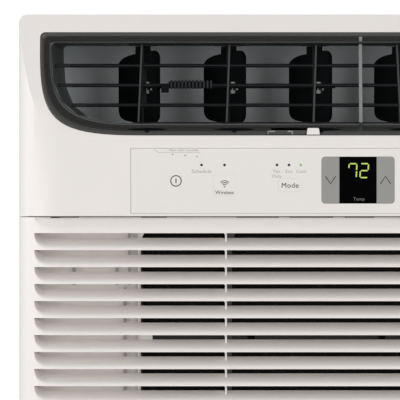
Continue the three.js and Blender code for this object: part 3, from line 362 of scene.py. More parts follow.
# Pale print, also used for the painted highlight strokes at the vent slot.
PALE_PRINT_AND_HIGHLIGHT = surface("pale_print_and_highlight", (0.40, 0.385, 0.37), 0.6, mottle=0.08, mottle_scale=2500)
INK_BLACK = surface("lamp_dark", (0.012, 0.012, 0.013), 0.3, mottle=0.1)
INK_LENS = surface("ink_on_lens", (0.16, 0.16, 0.165), 0.5, mottle=0.1, mottle_scale=2500)
DIGIT = glowing("digit_lime", (0.48, 0.64, 0.10), 0.66)
LAMP = glowing("lamp_green", (0.26, 0.46, 0.17), 0.6)
FILTER = surface("filter_dark", (0.030, 0.028, 0.026), 0.7, specular=0.3, grain=0.3, grain_scale=1200,
                 mottle=0.12)
CASE = surface("case_paint", (0.70, 0.69, 0.665), 0.42, grain=0.2, grain_scale=1400, mottle=0.02,
               dust=((0.55, 0.52, 0.47), 0.25))
ZINC = surface("galvanised", (0.56, 0.575, 0.58), 0.42, metallic=0.85, mottle=0.14, mottle_scale=55,
               uneven=0.12, grain=0.1, grain_scale=300)
FINS = surface("fin_aluminium", (0.66, 0.68, 0.69), 0.38, metallic=0.9, mottle=0.1, mottle_scale=160,
               uneven=0.12, grain=0.15, grain_scale=900)
COPPER = surface("copper", (0.72, 0.36, 0.20), 0.3, metallic=1.0, mottle=0.2, mottle_scale=60, uneven=0.12,
                 grain=0.08, grain_scale=500)
FOAM = surface("foam_white", (0.82, 0.82, 0.80), 0.85, grain=0.6, grain_scale=500, mottle=0.04)
STEEL = surface("black_steel", (0.018, 0.018, 0.02), 0.36, metallic=0.2, mottle=0.15, grain=0.15,
                grain_scale=700, dust=((0.2, 0.19, 0.17), 0.3))
BOARD = surface("circuit_green", (0.02, 0.14, 0.055), 0.35, mottle=0.25, mottle_scale=300, coat=0.4)
SCREW = surface("screw_steel", (0.6, 0.6, 0.6), 0.3, metallic=1.0, mottle=0.12, mottle_scale=700, uneven=0.1)
RUBBER = surface("cord_rubber", (0.02, 0.02, 0.021), 0.6, grain=0.3, mottle=0.1)


def mesh_material():
    """Filter netting: a fine woven grid over near-black plastic."""
    material = surface("filter_net", (0.005, 0.005, 0.0045), 0.8, specular=0.15, mottle=0.2, mottle_scale=120)
    tree = material.node_tree
    where = add_node(tree, "TexCoord").outputs["Object"]
    threads = [add_node(tree, "TexWave", {"Scale": 160, "Vector": where}, bands_direction=way).outputs["Fac"]
               for way in ("X", "Z")]
    height = add_node(tree, "Math", dict(enumerate(threads)), operation="MAXIMUM").outputs[0]
    relief(tree, height, 0.8, 0.0006)
    return material


NET = mesh_material()


# Where the duct's foam face and its ceiling begin, in metres, each with a narrow fade. Above the ceiling line
# the walls carry a painted near-black shade.
FOAM_FACE = (-0.1206, -0.1202)
CEILING = (0.3192, 0.3196)


def duct_material():
    """The tunnel's dark walls, the paler foam face at its far end, and painted shade: the walls near-black
    from just below the ceiling up.
    """
    material = surface("duct_foam_and_ceiling_shade", (0.125, 0.14, 0.142), 0.5, grain=0.15, grain_scale=1500, mottle=0.06)
    tree = material.node_tree
    base = tree.nodes["Principled BSDF"].inputs["Base Color"]
    walls = base.links[0].from_socket
    where = add_node(tree, "TexCoord").outputs["Object"]
    position = add_node(tree, "SeparateXYZ", {0: where})

    def beyond(axis, start, end):
        """0 before the start, 1 beyond the end, along one axis in metres."""
        inputs = {"From Min": start, "From Max": end, "Value": position.outputs[axis]}
        return add_node(tree, "MapRange", inputs).outputs[0]

    tone = mix(tree, noise(tree, where, 60, 6), (0.88, 0.93, 0.94), (0.92, 0.96, 0.97))
    far = mix(tree, beyond("Y", *FOAM_FACE), walls, tone)
    # Painted shade: the walls turn near-black from just below the ceiling up.
    ceiling_shade = mix(tree, beyond("Z", *CEILING), far, (0.004, 0.0045, 0.005))
    tree.links.new(mix(tree, beyond("Y", *FOAM_FACE), ceiling_shade, far), base)
    return material


DUCT = duct_material()

# ---------------- front shell
# Each key's corner radius, and its face inside the flange that holds it.
KEYS = {"power_key": 3.98, "connect_key": 2, "mode_key": 2, "fan_speed_key": 2, "timer_key": 2}
KEY_FLANGE = 0.9
KEY_FACE = {}
for key in KEYS:
    low, high = extent(key)
    KEY_FACE[key] = (low.x + KEY_FLANGE, high.x - KEY_FLANGE, low.z + KEY_FLANGE, high.z - KEY_FLANGE)
LAMP_Z = 235.3
LAMP_R = 0.9
LIT_LAMP = -39.6
LAMPS = [-108.1, -92.2, -56.0, -47.7, LIT_LAMP, 50, 58, 66, 99]
DISPLAY = (-25.3, 25.3, 208.6, 241.1)
DISPLAY_R = 2.4
STRIP_GAP = 0.3
# How far the tools reach in depth that cut through the moulding and through the film.
MOULDING_TOOL = (FRONT - 1, FRONT + 9)
FILM_TOOL = (FRONT - 1, FRONT + 2)


def ahead_of_lean(set_back):
    """Everything in front of the leaning face, or in front of a plane behind it."""
    over = HEIGHT + 5
    outline = [
        (FRONT - 5, LEAN_START),
        (FRONT + set_back, LEAN_START),
        (FRONT + set_back + (over - LEAN_START) * LEAN, over),
        (FRONT - 5, over),
    ]
    return prism("lean", outline, "X", -HALF - 5, HALF + 5)


def on_face(outline, set_back):
    """An outlet outline laid on the front face, or set back from it."""
    return [(x, face_y(z) + set_back, z) for x, z in outlet(outline)]


def front_shell():
    """The upper front moulding, open at the back, with its mouth, strip recess, window and key holes."""
    shell = prism("front_shell", front_plan(HALF, FRONT, SHELL_BACK, *CORNER, 20), "Z", SEAM, HEIGHT)
    hollow_plan = front_plan(HALF - WALL, FRONT + WALL, SHELL_BACK + 1, CORNER[0] - WALL, CORNER[1] - WALL, 8)
    hollow = prism("hollow", hollow_plan, "Z", SEAM - 1, HEIGHT - WALL)
    combine(hollow, [ahead_of_lean(WALL)])
    r = TOP_RADIUS
    right = arc(HALF - r, HEIGHT - r, r, r, 0, 90, 8)
    face = [(-HALF - 1, SEAM - 1), (HALF + 1, SEAM - 1), (HALF + 1, HEIGHT - r), *right]
    face += [(-x, z) for x, z in reversed(right)] + [(-HALF - 1, HEIGHT - r)]
    combine(shell, [ahead_of_lean(0)])
    combine(shell, [prism("face", clean(face), "Y", FRONT - 1, SHELL_BACK + 1)], "INTERSECT")
    mouth = loft("mouth", [on_face(MOUTH, -5), on_face(MOUTH, 30)])
    gap = STRIP_GAP
    strip = box("strip", (film_low.x - gap, film_high.x + gap), (FRONT - 1, FRONT + 1),
                (film_low.z - gap, film_high.z + gap))
    tools = [hollow, mouth, strip, prism("window", rounded(*DISPLAY, DISPLAY_R), "Y", *MOULDING_TOOL)]
    for x0, x1, z0, z1 in KEY_FACE.values():
        hole = rounded(x0 - gap, x1 + gap, z0 - gap, z1 + gap, 2)
        tools.append(prism("key_hole", hole, "Y", *MOULDING_TOOL))
    combine(shell, tools)
    lip, inset = 8, 1.5
    flange = box("flange", (-HALF + inset, HALF - inset), (SHELL_BACK - WALL, SHELL_BACK - 0.05),
                 (SEAM + 0.05, HEIGHT - inset))
    open_back = box("open_back", (-HALF + lip, HALF - lip), (SHELL_BACK - 9, SHELL_BACK + 1),
                    (SEAM - 1, HEIGHT - lip - WALL))
    combine(flange, [open_back])
    combine(shell, [flange], "UNION")
    piece(shell, "housing", WHITE, ["front_escutcheon"], edge=0.45, angle=35, segments=3)


front_shell()


# ---------------- outlet bezel and duct
VENT_SLOT = dict(x0=-59.9, x1=-25.9, z0=256.1, z1=261.2)
LEDGE_TOP = 259.4
SLOPE_OUTER = grown(MOUTH, -1.9)
SLOPE_INNER = grown(THROAT, 1.55)


def blended(t):
    """The bezel's slope between its outer outline at 0 and its inner one at 1."""
    return {key: SLOPE_OUTER[key] * (1 - t) + SLOPE_INNER[key] * t for key in MOUTH}


def slope_depth(t):
    """How far back the slope is: it faces forward at its outer edge and turns inward."""
    return 0.75 + 8.75 * max(0, t) ** 1.5


def bezel():
    """A dark glossy ring that slopes inward, with a fine bead round its throat."""
    depth = 12
    bead = [(1.35, depth - 3.0), (0.55, depth - 3.1), (0.1, depth - 2.6), (0, depth), (1.6, depth),
            (2.2, depth - 2)]
    rim = [(-0.3, 1.2), (-0.3, 0.4), (-0.7, 0.05), (-1.3, 0.15)]
    steps = 10
    loops = [on_face(blended(i / steps), slope_depth(i / steps)) for i in range(steps + 1)]
    loops += [on_face(grown(THROAT, by), back) for by, back in bead]
    loops += [on_face(grown(MOUTH, by), back) for by, back in rim]
    ring = loft("bezel_ring", loops, ring=True)
    x0, x1, z0, z1 = (VENT_SLOT[k] for k in ("x0", "x1", "z0", "z1"))
    through = (FRONT - 2, FRONT + 16)
    low_slot = box("low_slot", (x0 - 3.7, x1), through, (z0, LEDGE_TOP))
    slot = box("slot", (x0, x1), through, (LEDGE_TOP - 0.1, z1))
    combine(ring, [low_slot, slot])
    piece(ring, "housing", BEZEL, ["outlet_bezel"], edge=0.12, angle=50)
    ledge = box("vent_ledge", (x0 - 3.6, x1 - 0.1), (FRONT + 4.2, FRONT + 5), (z0 + 0.1, LEDGE_TOP - 0.1))
    piece(ledge, "housing", BEZEL, edge=0.1)
    # Painted highlight: pale strokes at the vent slot's upper corners stand in for light on the rim of its
    # outline.
    left = stroke([(-62.2, 256.2), (-62.2, 258.2), (-61.7, 258.6), (-57.4, 258.6)], 0.75)
    right = stroke([(-45.3, 256.2), (-45.3, 258.2), (-45.8, 258.6), (-48.5, 258.6)], 0.75)
    print_and_highlight("vent_slot_highlight", [left, right], "housing", PALE_PRINT_AND_HIGHLIGHT, face=FRONT + 4.16, thick=0.06)


dress("outlet_duct", DUCT, 0.3)


def centre_divider():
    """The pale upright in the middle: full behind the throat, thin and dark over the bezel's slopes."""
    low, high = extent("centre_divider")
    middle = (low.x + high.x) / 2

    def bar(name, half, z0, z1, front, back):
        outline = [(face_y(z) + v, z) for z, v in ((z0, front[0]), (z0, back), (z1, back), (z1, front[1]))]
        return prism(name, outline, "X", middle - half, middle + half)

    main = bar("divider_bar", 1.25, 264.9, 319.6, (9.2, 9.2), 11.3)
    piece(main, "housing", DIVIDER, ["centre_divider"], edge=0.4)
    piece(bar("divider_lug", 1.2, 321.4, 324.6, (4.4, 1.8), 8.6), "housing", DIVIDER, edge=0.4)
    foot = bar("divider_foot", 0.9, low.z, 264.8, (1.0, 8.6), 11.3)
    head = bar("divider_head", 0.9, 319.7, high.z, (8.6, 1.2), 11.3)
    piece(merge("divider_ends", [foot, head]), "housing", UPRIGHT, edge=0.2)


centre_divider()


UPRIGHT_X = (-150.9, -89.6, -29.2, 29.2, 89.6, 150.9)


def uprights():
    """Six thin grey uprights that carry the louvres, between two fine black rails."""
    low, high = extent("louvre_support_frame")
    lean, thin, half = 1.1, 0.7, 0.6
    front, back = 14, 22
    bars = []
    for x in UPRIGHT_X:
        side = -1 if x > 0 else 1
        loops = []
        for z, shift in ((low.z, -lean * side), (high.z, lean * side)):
            y = face_y(z)
            corners = ((-half, front), (half, front), (half, back), (-half, back))
            loops.append([(x + shift + u, y + v, z) for u, v in corners])
        bars.append(loft("upright", loops))
    piece(merge("uprights", bars), "housing", UPRIGHT, ["louvre_support_frame"], edge=0.12)
    rails = []
    for z0, z1 in ((low.z, low.z + thin), (high.z - thin, high.z)):
        outline = [(face_y(z) + v, z) for z, v in ((z0, front), (z0, back), (z1, back), (z1, front))]
        rails.append(prism("rail", outline, "X", low.x, high.x))
    piece(merge("louvre_rails", rails), "housing", VANE_BLACK_AND_PIT_SHADE)


uprights()
for name in ("louvre_top", "louvre_middle", "louvre_bottom"):
    dress(name, BLADE, 0.1)
    low, high = extent(name)
    middle = (low.z + high.z) / 2
    tip, root, half = low.x + 1.4, low.x + 12.5, 1.25
    stub = [(tip, middle - half), (root - 3, middle - half), (root, middle), (root - 3, middle + half),
            (tip, middle + half)]
    piece(prism(f"{name}_stub", stub, "Y", low.y + 0.01, low.y + 7), name, VANE_BLACK_AND_PIT_SHADE)
dress("louvre_gang_link", VANE_BLACK_AND_PIT_SHADE, 0.25)
dress("vent_damper", ZINC, 0.1)


def vent_lever():
    """A pale tab in the bezel's lower slope, on a dark rod that runs back beside the duct."""
    low, high = extent("vent_lever")
    middle, foot, head = high.x - 4.6, 4.6, 4.0
    z0, z1 = low.z, high.z
    outline = [(middle - foot, z0), (middle + foot, z0), (middle + head, z1 - 0.4), (middle + head - 0.4, z1),
               (middle - head + 0.4, z1), (middle - head, z1 - 0.4)]
    piece(prism("vent_tab", outline, "Y", FRONT + 0.1, FRONT + 3.6), "vent_lever", WHITE,
          ["vent_lever"], edge=0.35, segments=3)
    bend, half, thick = -244, 3, 4
    rod_z = (256.4, 260.8)
    rods = [
        box("arm", (middle - half, middle + half), (FRONT + 3, bend), (259.8, 260.7)),
        box("rod", (low.x, middle + half), (bend - thick, bend), rod_z),
        box("reach", (low.x, low.x + thick), (bend - 2, high.y), rod_z),
    ]
    piece(union("vent_rod", rods), "vent_lever", LINK, edge=0.2)


VANE_MIDDLE = 1.45
VANE_PITCH = 60.3
VANE_X = [VANE_MIDDLE + n * VANE_PITCH for n in (-2.5, -1.5, -0.5, 0.5, 1.5, 2.5)]
VANE_Y = -217
VANE_ANGLE = math.radians(42)
AHEAD = (math.sin(VANE_ANGLE), -math.cos(VANE_ANGLE))
VANE_PIN = 6


def on_slope(z):
    """Depth of the bezel's lower slope at a height."""
    low, high = SLOPE_OUTER["bottom"], SLOPE_INNER["bottom"]
    return face_y(z) + slope_depth((z - low) / (high - low))


def pivot_pit_shade():
    """Painted shade: flat black lens shapes with a snap dot on the bezel's lower slope, one below each vane,
    for the dark inside the pivot pits.
    """
    z, aside = 260.0, 3.4
    half, rise, dot_r, drop = 13.8, 0.9, 1.4, 0.8
    marks = []
    for x in VANE_X:
        lens = (arc(x + aside, z, half, rise, 0, 360, 28), (-0.4, 0.18))
        dot = (arc(x + aside, z - drop, dot_r, dot_r, 0, 360, 14), (-0.3, 0.7))
        for outline, lifts in (lens, dot):
            loops = [[(u, on_slope(v) - lift, v) for u, v in outline[:-1]] for lift in lifts]
            marks.append(loft("mark", loops))
    # Painted shade of the pivot pits.
    piece(merge("pivot_pit_shade", marks), "housing", VANE_BLACK_AND_PIT_SHADE, edge=0.08)


pivot_pit_shade()


# ---------------- vanes and their link bars
def turned(x, outline, thick, offset=0.0):
    """A plate standing in a vane's plane, its outline given as distance ahead of the pivot and height."""
    ahead_x, ahead_y = AHEAD
    loops = []
    for t in (offset - thick / 2, offset + thick / 2):
        x0, y0 = x - t * ahead_y, VANE_Y + t * ahead_x
        loops.append([(x0 + u * ahead_x, y0 + u * ahead_y, z) for u, z in outline])
    return loft("plate", loops)


LINK_Z = 290.4
WINDOW = (1.6, 10.4, LINK_Z - 2.2, LINK_Z + 2.4)
NECK_TOP = 319.2


def pin_place(x):
    """Where a vane's link pin stands, in X and Y."""
    return x + VANE_PIN * AHEAD[0], VANE_Y + VANE_PIN * AHEAD[1]


def vane_piece(index, x):
    """A vane with a window for its link bar's pin, a raised rim round its nose, its stem and the pin."""
    tail, nose, neck = -25.4, 17.2, 7.3
    shoulder = bezier((-neck, 314), (-14, 313.4), (-22.5, 312), (tail, 307.4), 10)
    foot = 265
    heel = bezier((tail, 275.4), (tail, 270), (-22, 267.8), (-15.5, 266.8), 10) + [(-8.5, 265.8), (-5, foot)]
    outline = [
        (neck, NECK_TOP), (neck, 316), *arc(nose - 5.4, 310.6, 5.4, 5.4, 90, 0, 8),
        *arc(nose - 6.4, foot + 5.8, 6.4, 5.8, 0, -90, 8), *heel[::-1], *shoulder[::-1], (-neck, NECK_TOP),
    ]
    plate = turned(x, clean(outline), 1.6)
    u0, u1, w0, w1 = WINDOW
    combine(plate, [turned(x, [(u0, w0), (u1, w0), (u1, w1), (u0, w1)], 4)])
    rim_outer = clean([(3.4, 315.6), *arc(nose - 5.4, 310.6, 5.2, 5.0, 90, 0, 8),
                       *arc(nose - 6.4, foot + 5.8, 6.2, 5.6, 0, -90, 8), (3.4, foot + 0.2)])
    rim_inner = clean([(4.4, 314.4), *arc(nose - 5.6, 310.2, 4.2, 4.2, 90, 0, 8),
                       *arc(nose - 6.6, foot + 6, 5.4, 4.8, 0, -90, 8), (4.4, foot + 1.2)])
    rim = turned(x, rim_outer, 2.6, -0.2)
    opening = [(1, w0), (u1 + 0.8, w0), (u1 + 0.8, w1), (1, w1)]
    combine(rim, [turned(x, rim_inner, 6), turned(x, opening, 6.5)])
    pin = pin_place(x)
    stem_r, pin_r, boss_r = 2.2, 1.2, 1.8
    stem = rod("stem", "Z", stem_r, 262.7, 321.4, x, VANE_Y, 20)
    name = f"vane_{index}"
    made = union(f"vane_blade_{index}", [plate, rim, stem, rod("pin", "Z", pin_r, w0 - 1, w1 + 1, *pin, 14)])
    piece(made, name, VANE_BLACK_AND_PIT_SHADE, [name], edge=0.22, angle=40)
    # Painted highlight: the bosses' pale grey stands in for light caught by the link pin above and below the
    # bar.
    highlight_bosses = [rod("boss", "Z", boss_r, *span, pin[0] - 1.0, pin[1] - 0.9, 20)
              for span in ((w0 - 2.3, w0 + 0.1), (w1 + 0.05, w1 + 1.3))]
    piece(merge(f"pin_highlight_bosses_{index}", highlight_bosses), name, PALE_GREY_AND_PIN_HIGHLIGHT, edge=0.15)


for index, x in enumerate(VANE_X, 1):
    vane_piece(index, x)


GRIP_SPAN = (-130.3, -100.2)


def vane_link(side, first):
    """The bar that gangs three vanes, with its ribbed grip in front of the louvres."""
    low, high = extent(f"vane_link_{side}")
    shift = VANE_X[first] - VANE_X[0]
    pins = [pin_place(x) for x in VANE_X[first:first + 3]]
    y = pins[0][1]
    bar_half, eye_r, hole_r = 1.2, 3, 1.5
    z0, z1 = LINK_Z - 0.8, LINK_Z + 0.8
    grip = (GRIP_SPAN[0] + shift, GRIP_SPAN[1] + shift)
    front, back = low.y, low.y + 4
    neck = (grip[0] - 5.9, grip[0] - 0.8)
    parts = [box("bar", (pins[0][0], high.x - 0.05), (y - bar_half, y + bar_half), (z0, z1))]
    parts += [rod("eye", "Z", eye_r, z0, z1, *pin) for pin in pins]
    parts += [
        box("drop", neck, (-240.5, y + 1.15), (287.2, z0 + 0.9)),
        box("neck", neck, (front + 0.5, -239.5), (286.1, 287.6)),
        box("riser", (neck[0], neck[1] + 0.3), (front + 0.6, back - 0.6), (286.2, 291.6)),
        box("core", (neck[1], grip[1] - 0.5), (front + 1.3, back - 0.6), (288.7, 293.6)),
    ]
    made = union(f"vane_bar_{side}", parts)
    combine(made, [rod("eye_hole", "Z", hole_r, z0 - 1, z1 + 1, *pin) for pin in pins])
    piece(made, f"vane_link_{side}", LINK, [f"vane_link_{side}"], edge=0.18)
    ribs = []
    count = 12
    pitch = (grip[1] - grip[0]) / count
    half = pitch * 0.23
    outline = rounded(front, back, 288.3, 294.5, 1.3, 4)
    for i in range(count):
        x = grip[0] + (i + 0.5) * pitch
        ribs.append(prism("rib", outline, "X", x - half, x + half))
    piece(merge(f"grip_ribs_{side}", ribs), f"vane_link_{side}", RIB, edge=0.15)


vane_link("left", 0)
vane_link("right", 3)


# ---------------- control strip
CAPITAL_SHARE = 0.70


def text(name, words, x, z, height, body, material, weight=0.0, spacing=1.0):
    """Printed words: thin flat letters of a given capital height, centred on a point."""
    curve = bpy.data.curves.new(name, "FONT")
    curve.body = words
    curve.size = height * MM / CAPITAL_SHARE
    curve.align_x = "CENTER"
    curve.space_character = spacing
    curve.bevel_depth = weight * MM
    curve.bevel_resolution = 0
    curve.extrude = 0.012 * MM
    curve.resolution_u = 4
    holder = linked(name + "_curve", curve)
    bpy.context.view_layer.update()
    mesh = bpy.data.meshes.new_from_object(holder.evaluated_get(bpy.context.evaluated_depsgraph_get()))
    bpy.data.objects.remove(holder)
    mesh.name = name
    turn = Matrix.Rotation(math.radians(90), 4, "X")
    mesh.transform(Matrix.Translation((x * MM, (INK_FACE + 0.014) * MM, (z - height / 2) * MM)) @ turn)
    piece(linked(name, mesh), body, material)


INK_THICK = 0.03


def print_and_highlight(name, outlines, body, material, face=INK_FACE, thick=INK_THICK):
    """Printed shapes, and painted highlight strokes, each a thin flat plate."""
    marks = [prism("mark", outline, "Y", face, face + thick) for outline in outlines]
    piece(merge(name, marks), body, material)


def stroke(points, width):
    """A line of even width through the points, as an outline."""
    left, right = [], []
    for i, p in enumerate(points):
        a, b = points[max(i - 1, 0)], points[min(i + 1, len(points) - 1)]
        dx, dz = b[0] - a[0], b[1] - a[1]
        length = math.hypot(dx, dz)
        nx, nz = -dz / length * width / 2, dx / length * width / 2
        left.append((p[0] + nx, p[1] + nz))
        right.append((p[0] - nx, p[1] - nz))
    return left + right[::-1]


def disc(x, z, r, sides=20):
    """A round outline."""
    return arc(x, z, r, r, 0, 360, sides)[:-1]


bezel()
vent_lever()


def control_film():
    """The strip's film with its keys, and the lamps with the guides behind them."""
    outline = rounded(film_low.x, film_high.x, film_low.z, film_high.z, 0.6)
    film = prism("strip_film", outline, "Y", FILM_FACE, film_high.y)
    tools = [prism("window", rounded(*DISPLAY, DISPLAY_R), "Y", *FILM_TOOL)]
    gap = 0.07
    for key, (x0, x1, z0, z1) in KEY_FACE.items():
        hole = rounded(x0 - gap, x1 + gap, z0 - gap, z1 + gap, KEYS[key] + gap, 8)
        tools.append(prism("key_hole", hole, "Y", *FILM_TOOL))
    tools += [prism("lamp_hole", disc(x, LAMP_Z, LAMP_R + 0.05), "Y", *FILM_TOOL) for x in LAMPS]
    combine(film, tools)
    piece(film, "housing", FILM, ["control_overlay"])
    for key, (x0, x1, z0, z1) in KEY_FACE.items():
        low, high = extent(key)
        cap = prism("cap", rounded(x0, x1, z0, z1, KEYS[key], 8), "Y", FILM_FACE, high.y)
        flange = box("flange", (low.x, high.x), (FRONT + WALL + 0.4, FRONT + WALL + 1.6), (low.z, high.z))
        made = union(f"membrane_{key}", [cap, flange])
        piece(made, key, FILM, [key])
    for side, lamps in (("left", LAMPS[:5]), ("right", LAMPS[5:])):
        low, high = extent(f"light_guide_{side}")
        bar = box("bar", (low.x, high.x), (FRONT + WALL + 0.5, high.y), (low.z, high.z))
        pipes = [rod("pipe", "Y", LAMP_R - 0.15, FRONT + 0.3, FRONT + WALL + 1, x, LAMP_Z, 16) for x in lamps]
        guide = union(f"lamp_guide_{side}", [bar, *pipes])
        piece(guide, "housing", PALE_GREY_AND_PIN_HIGHLIGHT, [f"light_guide_{side}"], edge=0.1)
    depth = (FILM_FACE - 0.02, FRONT + 0.28)
    caps = [prism("lamp", disc(x, LAMP_Z, LAMP_R), "Y", *depth) for x in LAMPS if x != LIT_LAMP]
    piece(merge("lamps_off", caps), "housing", INK_BLACK)
    piece(prism("lamp_on", disc(LIT_LAMP, LAMP_Z, LAMP_R), "Y", *depth), "housing", LAMP)


control_film()


def symbols():
    """The printed signs and words on the keys and the strip."""
    x, z = -125.8, 224.3
    outer, inner, half, tall = 3.92, 3.25, 0.4, 1.7
    flat = (INK_FACE, INK_FACE + INK_THICK)
    ring = prism("ring", disc(x, z, outer, 48), "Y", *flat)
    combine(ring, [prism("ring_hole", disc(x, z, inner, 48), "Y", INK_FACE - 1, INK_FACE + 1)])
    bar = prism("bar", rounded(x - half, x + half, z - tall, z + tall, 0.2, 3), "Y", *flat)
    piece(merge("power_symbol", [ring, bar]), "power_key", INK)
    x, z = -92.2, 220.3
    arcs = [stroke(arc(x, z, r, r, 45, 135, 14), 0.55) for r in (1.7, 2.9, 4.1)]
    print_and_highlight("wireless_symbol", [disc(x, z, 0.5, 16), *arcs], "connect_key", INK)
    text("wireless_word", "Wireless", x, 216.4, 2.5, "connect_key", INK, weight=0.02)
    key_word_z, row = 221.3, 231.0
    for words, x, key in (("Mode", -47, "mode"), ("Fan", 58, "fan_speed"), ("Timer", 99, "timer")):
        name = f"{words.lower()}_word"
        text(name, words, x, key_word_z, 3.4, f"{key}_key", INK, weight=0.05, spacing=1.12)
    labels = [("Schedule", -108.1, row), ("Fan", -56.2, row), ("Only", -56.2, 227.6), ("Eco", -47.7, row),
              ("Cool", -39.4, row), ("Low", 50, row), ("Med", 58, row), ("High", 66, row), ("On", 99, row)]
    for i, (words, lx, lz) in enumerate(labels):
        text(f"lamp_word_{i}", words, lx, lz, 2.5 if i == 0 else 2.2, "housing", PALE_PRINT_AND_HIGHLIGHT, spacing=1.08)
    text("filter_word", "Filter reset 3 seconds", -120.5, 245.6, 1.6, "housing", PALE_PRINT_AND_HIGHLIGHT)
    bracket = [(-140.6, 246.2), (-139.6, 244.9), (-137.8, 244.0), (-135.8, 243.8), (-109, 243.8)]
    print_and_highlight("filter_bracket", [stroke(bracket, 0.22)], "housing", PALE_PRINT_AND_HIGHLIGHT)
    dots = ((-128.1, 242.6), (-119.5, 241.9), (-111.3, 241.2))
    print_and_highlight("filter_dots", [disc(px, pz, 0.42, 12) for px, pz in dots], "housing", INK)


symbols()


def display():
    """The dark window with its digits, and the two temperature keys beside it."""
    low, high = extent("display_lens")
    z0, z1 = DISPLAY[2] + 0.1, DISPLAY[3] - 0.1
    outline = rounded(low.x - 0.15, high.x + 0.15, z0, z1, 0.2, 3)
    glass = prism("display_glass", outline, "Y", FILM_FACE, high.y)
    piece(glass, "housing", LENS, ["display_lens"])
    # Each key is drawn on under the window, then trimmed at the window's edge.
    key_inner, key_outer, under, lens_half = 12.95, 25.2, 3, 12.9
    trim_z = (200, 250)
    for side, sign in (("down", -1), ("up", 1)):
        key = f"temp_{side}_key"
        low, high = extent(key)
        x0, x1 = sorted((sign * (key_inner - under), sign * key_outer))
        body = prism("body", rounded(x0, x1, z0, z1, 2.3, 8), "Y", FILM_FACE, high.y)
        trim = box("trim", (-lens_half, lens_half), (FRONT - 1, high.y + 1), trim_z)
        combine(body, [trim])
        piece(body, key, KEY, [key], edge=0.06)
        x, z, reach, rise = sign * 19, 224.9, 3.5, 2.6
        foot = z - sign * rise
        line = stroke([(x - reach, foot), (x, z + sign * rise), (x + reach, foot)], 0.7)
        print_and_highlight(f"temp_{side}_arrow", [line], key, INK_BLACK)
    w, h, thick, gap, short = 2.7, 4.8, 0.88, 0.62, 3.4
    middle, slant = 231.4, math.tan(math.radians(3))
    bars = {
        "a": ((-w, h), (w, h)), "b": ((w, h), (w, 0)), "c": ((w, 0), (w, -h)), "d": ((-w, -h), (w, -h)),
        "e": ((-w, 0), (-w, -h)), "f": ((-w, h), (-w, 0)), "g": ((-w, 0), (w, 0)),
    }
    digits = []
    for cx, lit in ((-3.7, "abcf"), (4.3, "abged")):
        for name in lit:
            a, b = (Vector(end) for end in bars[name])
            if name == "f" and "g" not in lit:
                b.y = a.y - short
            along = (b - a).normalized()
            a, b = a + along * gap, b - along * gap
            across = Vector((-along.y, along.x)) * thick / 2
            tip = along * thick / 2
            shape = [a - tip * 0.8, a - across + tip * 0.2, b - across - tip * 0.2, b + tip * 0.8,
                     b + across - tip * 0.2, a + across + tip * 0.2]
            digits.append([(cx + p.x + p.y * slant, middle + p.y) for p in shape])
    print_and_highlight("display_digits", digits, "housing", DIGIT)
    text("temp_word", "Temp", 0.6, 211.9, 2.25, "housing", INK_LENS, spacing=1.08)


display()
dress("control_board", BOARD, 0.1)


# ---------------- intake grille
SLOTS = dict(count=14, pitch=11.75, height=8.9, bottom=179.3, half=223.9, corner=9.4, rise=5.5, depth=12)
RECESS_DEPTH = 5
LIPS = ((-192.7, -150.2), (-131.8, -84), (-54.6, -47.2), (-16.8, -9.2), (11.5, 40), (62, 96), (140, 214))
INNER_RIBS = (-91.2, 91.2)
HINGE_Y, HINGE_Z = -266.5, 10


def surface_y(x):
    """Depth of the front's surface at a distance from the middle: flat, then round the corner."""
    into = max(0, abs(x) - (HALF - CORNER[0])) / CORNER[0]
    return FRONT + CORNER[1] * (1 - math.sqrt(1 - into * into))


# How far a slot's floor drops below its straight line, at distances behind the face: a rounded nose.
NOSE_ROUND = ((-7, 1.5), (0, 1.5), (0.3, 0.9), (0.9, 0.5), (1.8, 0.2), (3.2, 0))
DOOR_TOP = door_high.z - 0.4


def slot_top(k):
    """Height of a slot's ceiling at the face, counted from the top slot."""
    return SLOTS["bottom"] - SLOTS["pitch"] * k + SLOTS["height"]


def slot_cutter(k, depth, soft=False):
    """A slot that rises as it goes back, with scooped lower corners; a soft one is only a shallow scoop."""
    half, corner, height = SLOTS["half"], SLOTS["corner"] * (1.5 if soft else 1), SLOTS["height"]
    z1 = slot_top(k)
    scoop = [math.radians(90 * i / 10) for i in range(11)]
    left = [(-half + corner * (1 - math.cos(t)), max(0.02, height * math.sin(t))) for t in scoop]
    bend = HALF - CORNER[0]
    left += [(-bend - i * (half - corner - bend) / 3, height) for i in (2, 1, 0)]
    slope = SLOTS["rise"] / SLOTS["depth"]
    loops = []
    for x, tall in left + [(-x, tall) for x, tall in reversed(left)]:
        y = surface_y(x)
        ease = min(1, tall / 4)
        section = [(by, -tall - ease * drop) for by, drop in NOSE_ROUND if by < depth - 0.5]
        section += [(depth, -tall), (depth, 0), (-7, 0)]
        if soft:
            deep = 0.3 + (depth - 0.3) * tall / height
            section = [(-7, -tall), (0, -tall), (0.1 * deep, -0.8 * tall), (deep, -0.25 * tall), (deep, 0),
                       (-7, 0)]
        loops.append([(x, y + by, z1 + rise + slope * by) for by, rise in section])
    return loft("slot", loops)


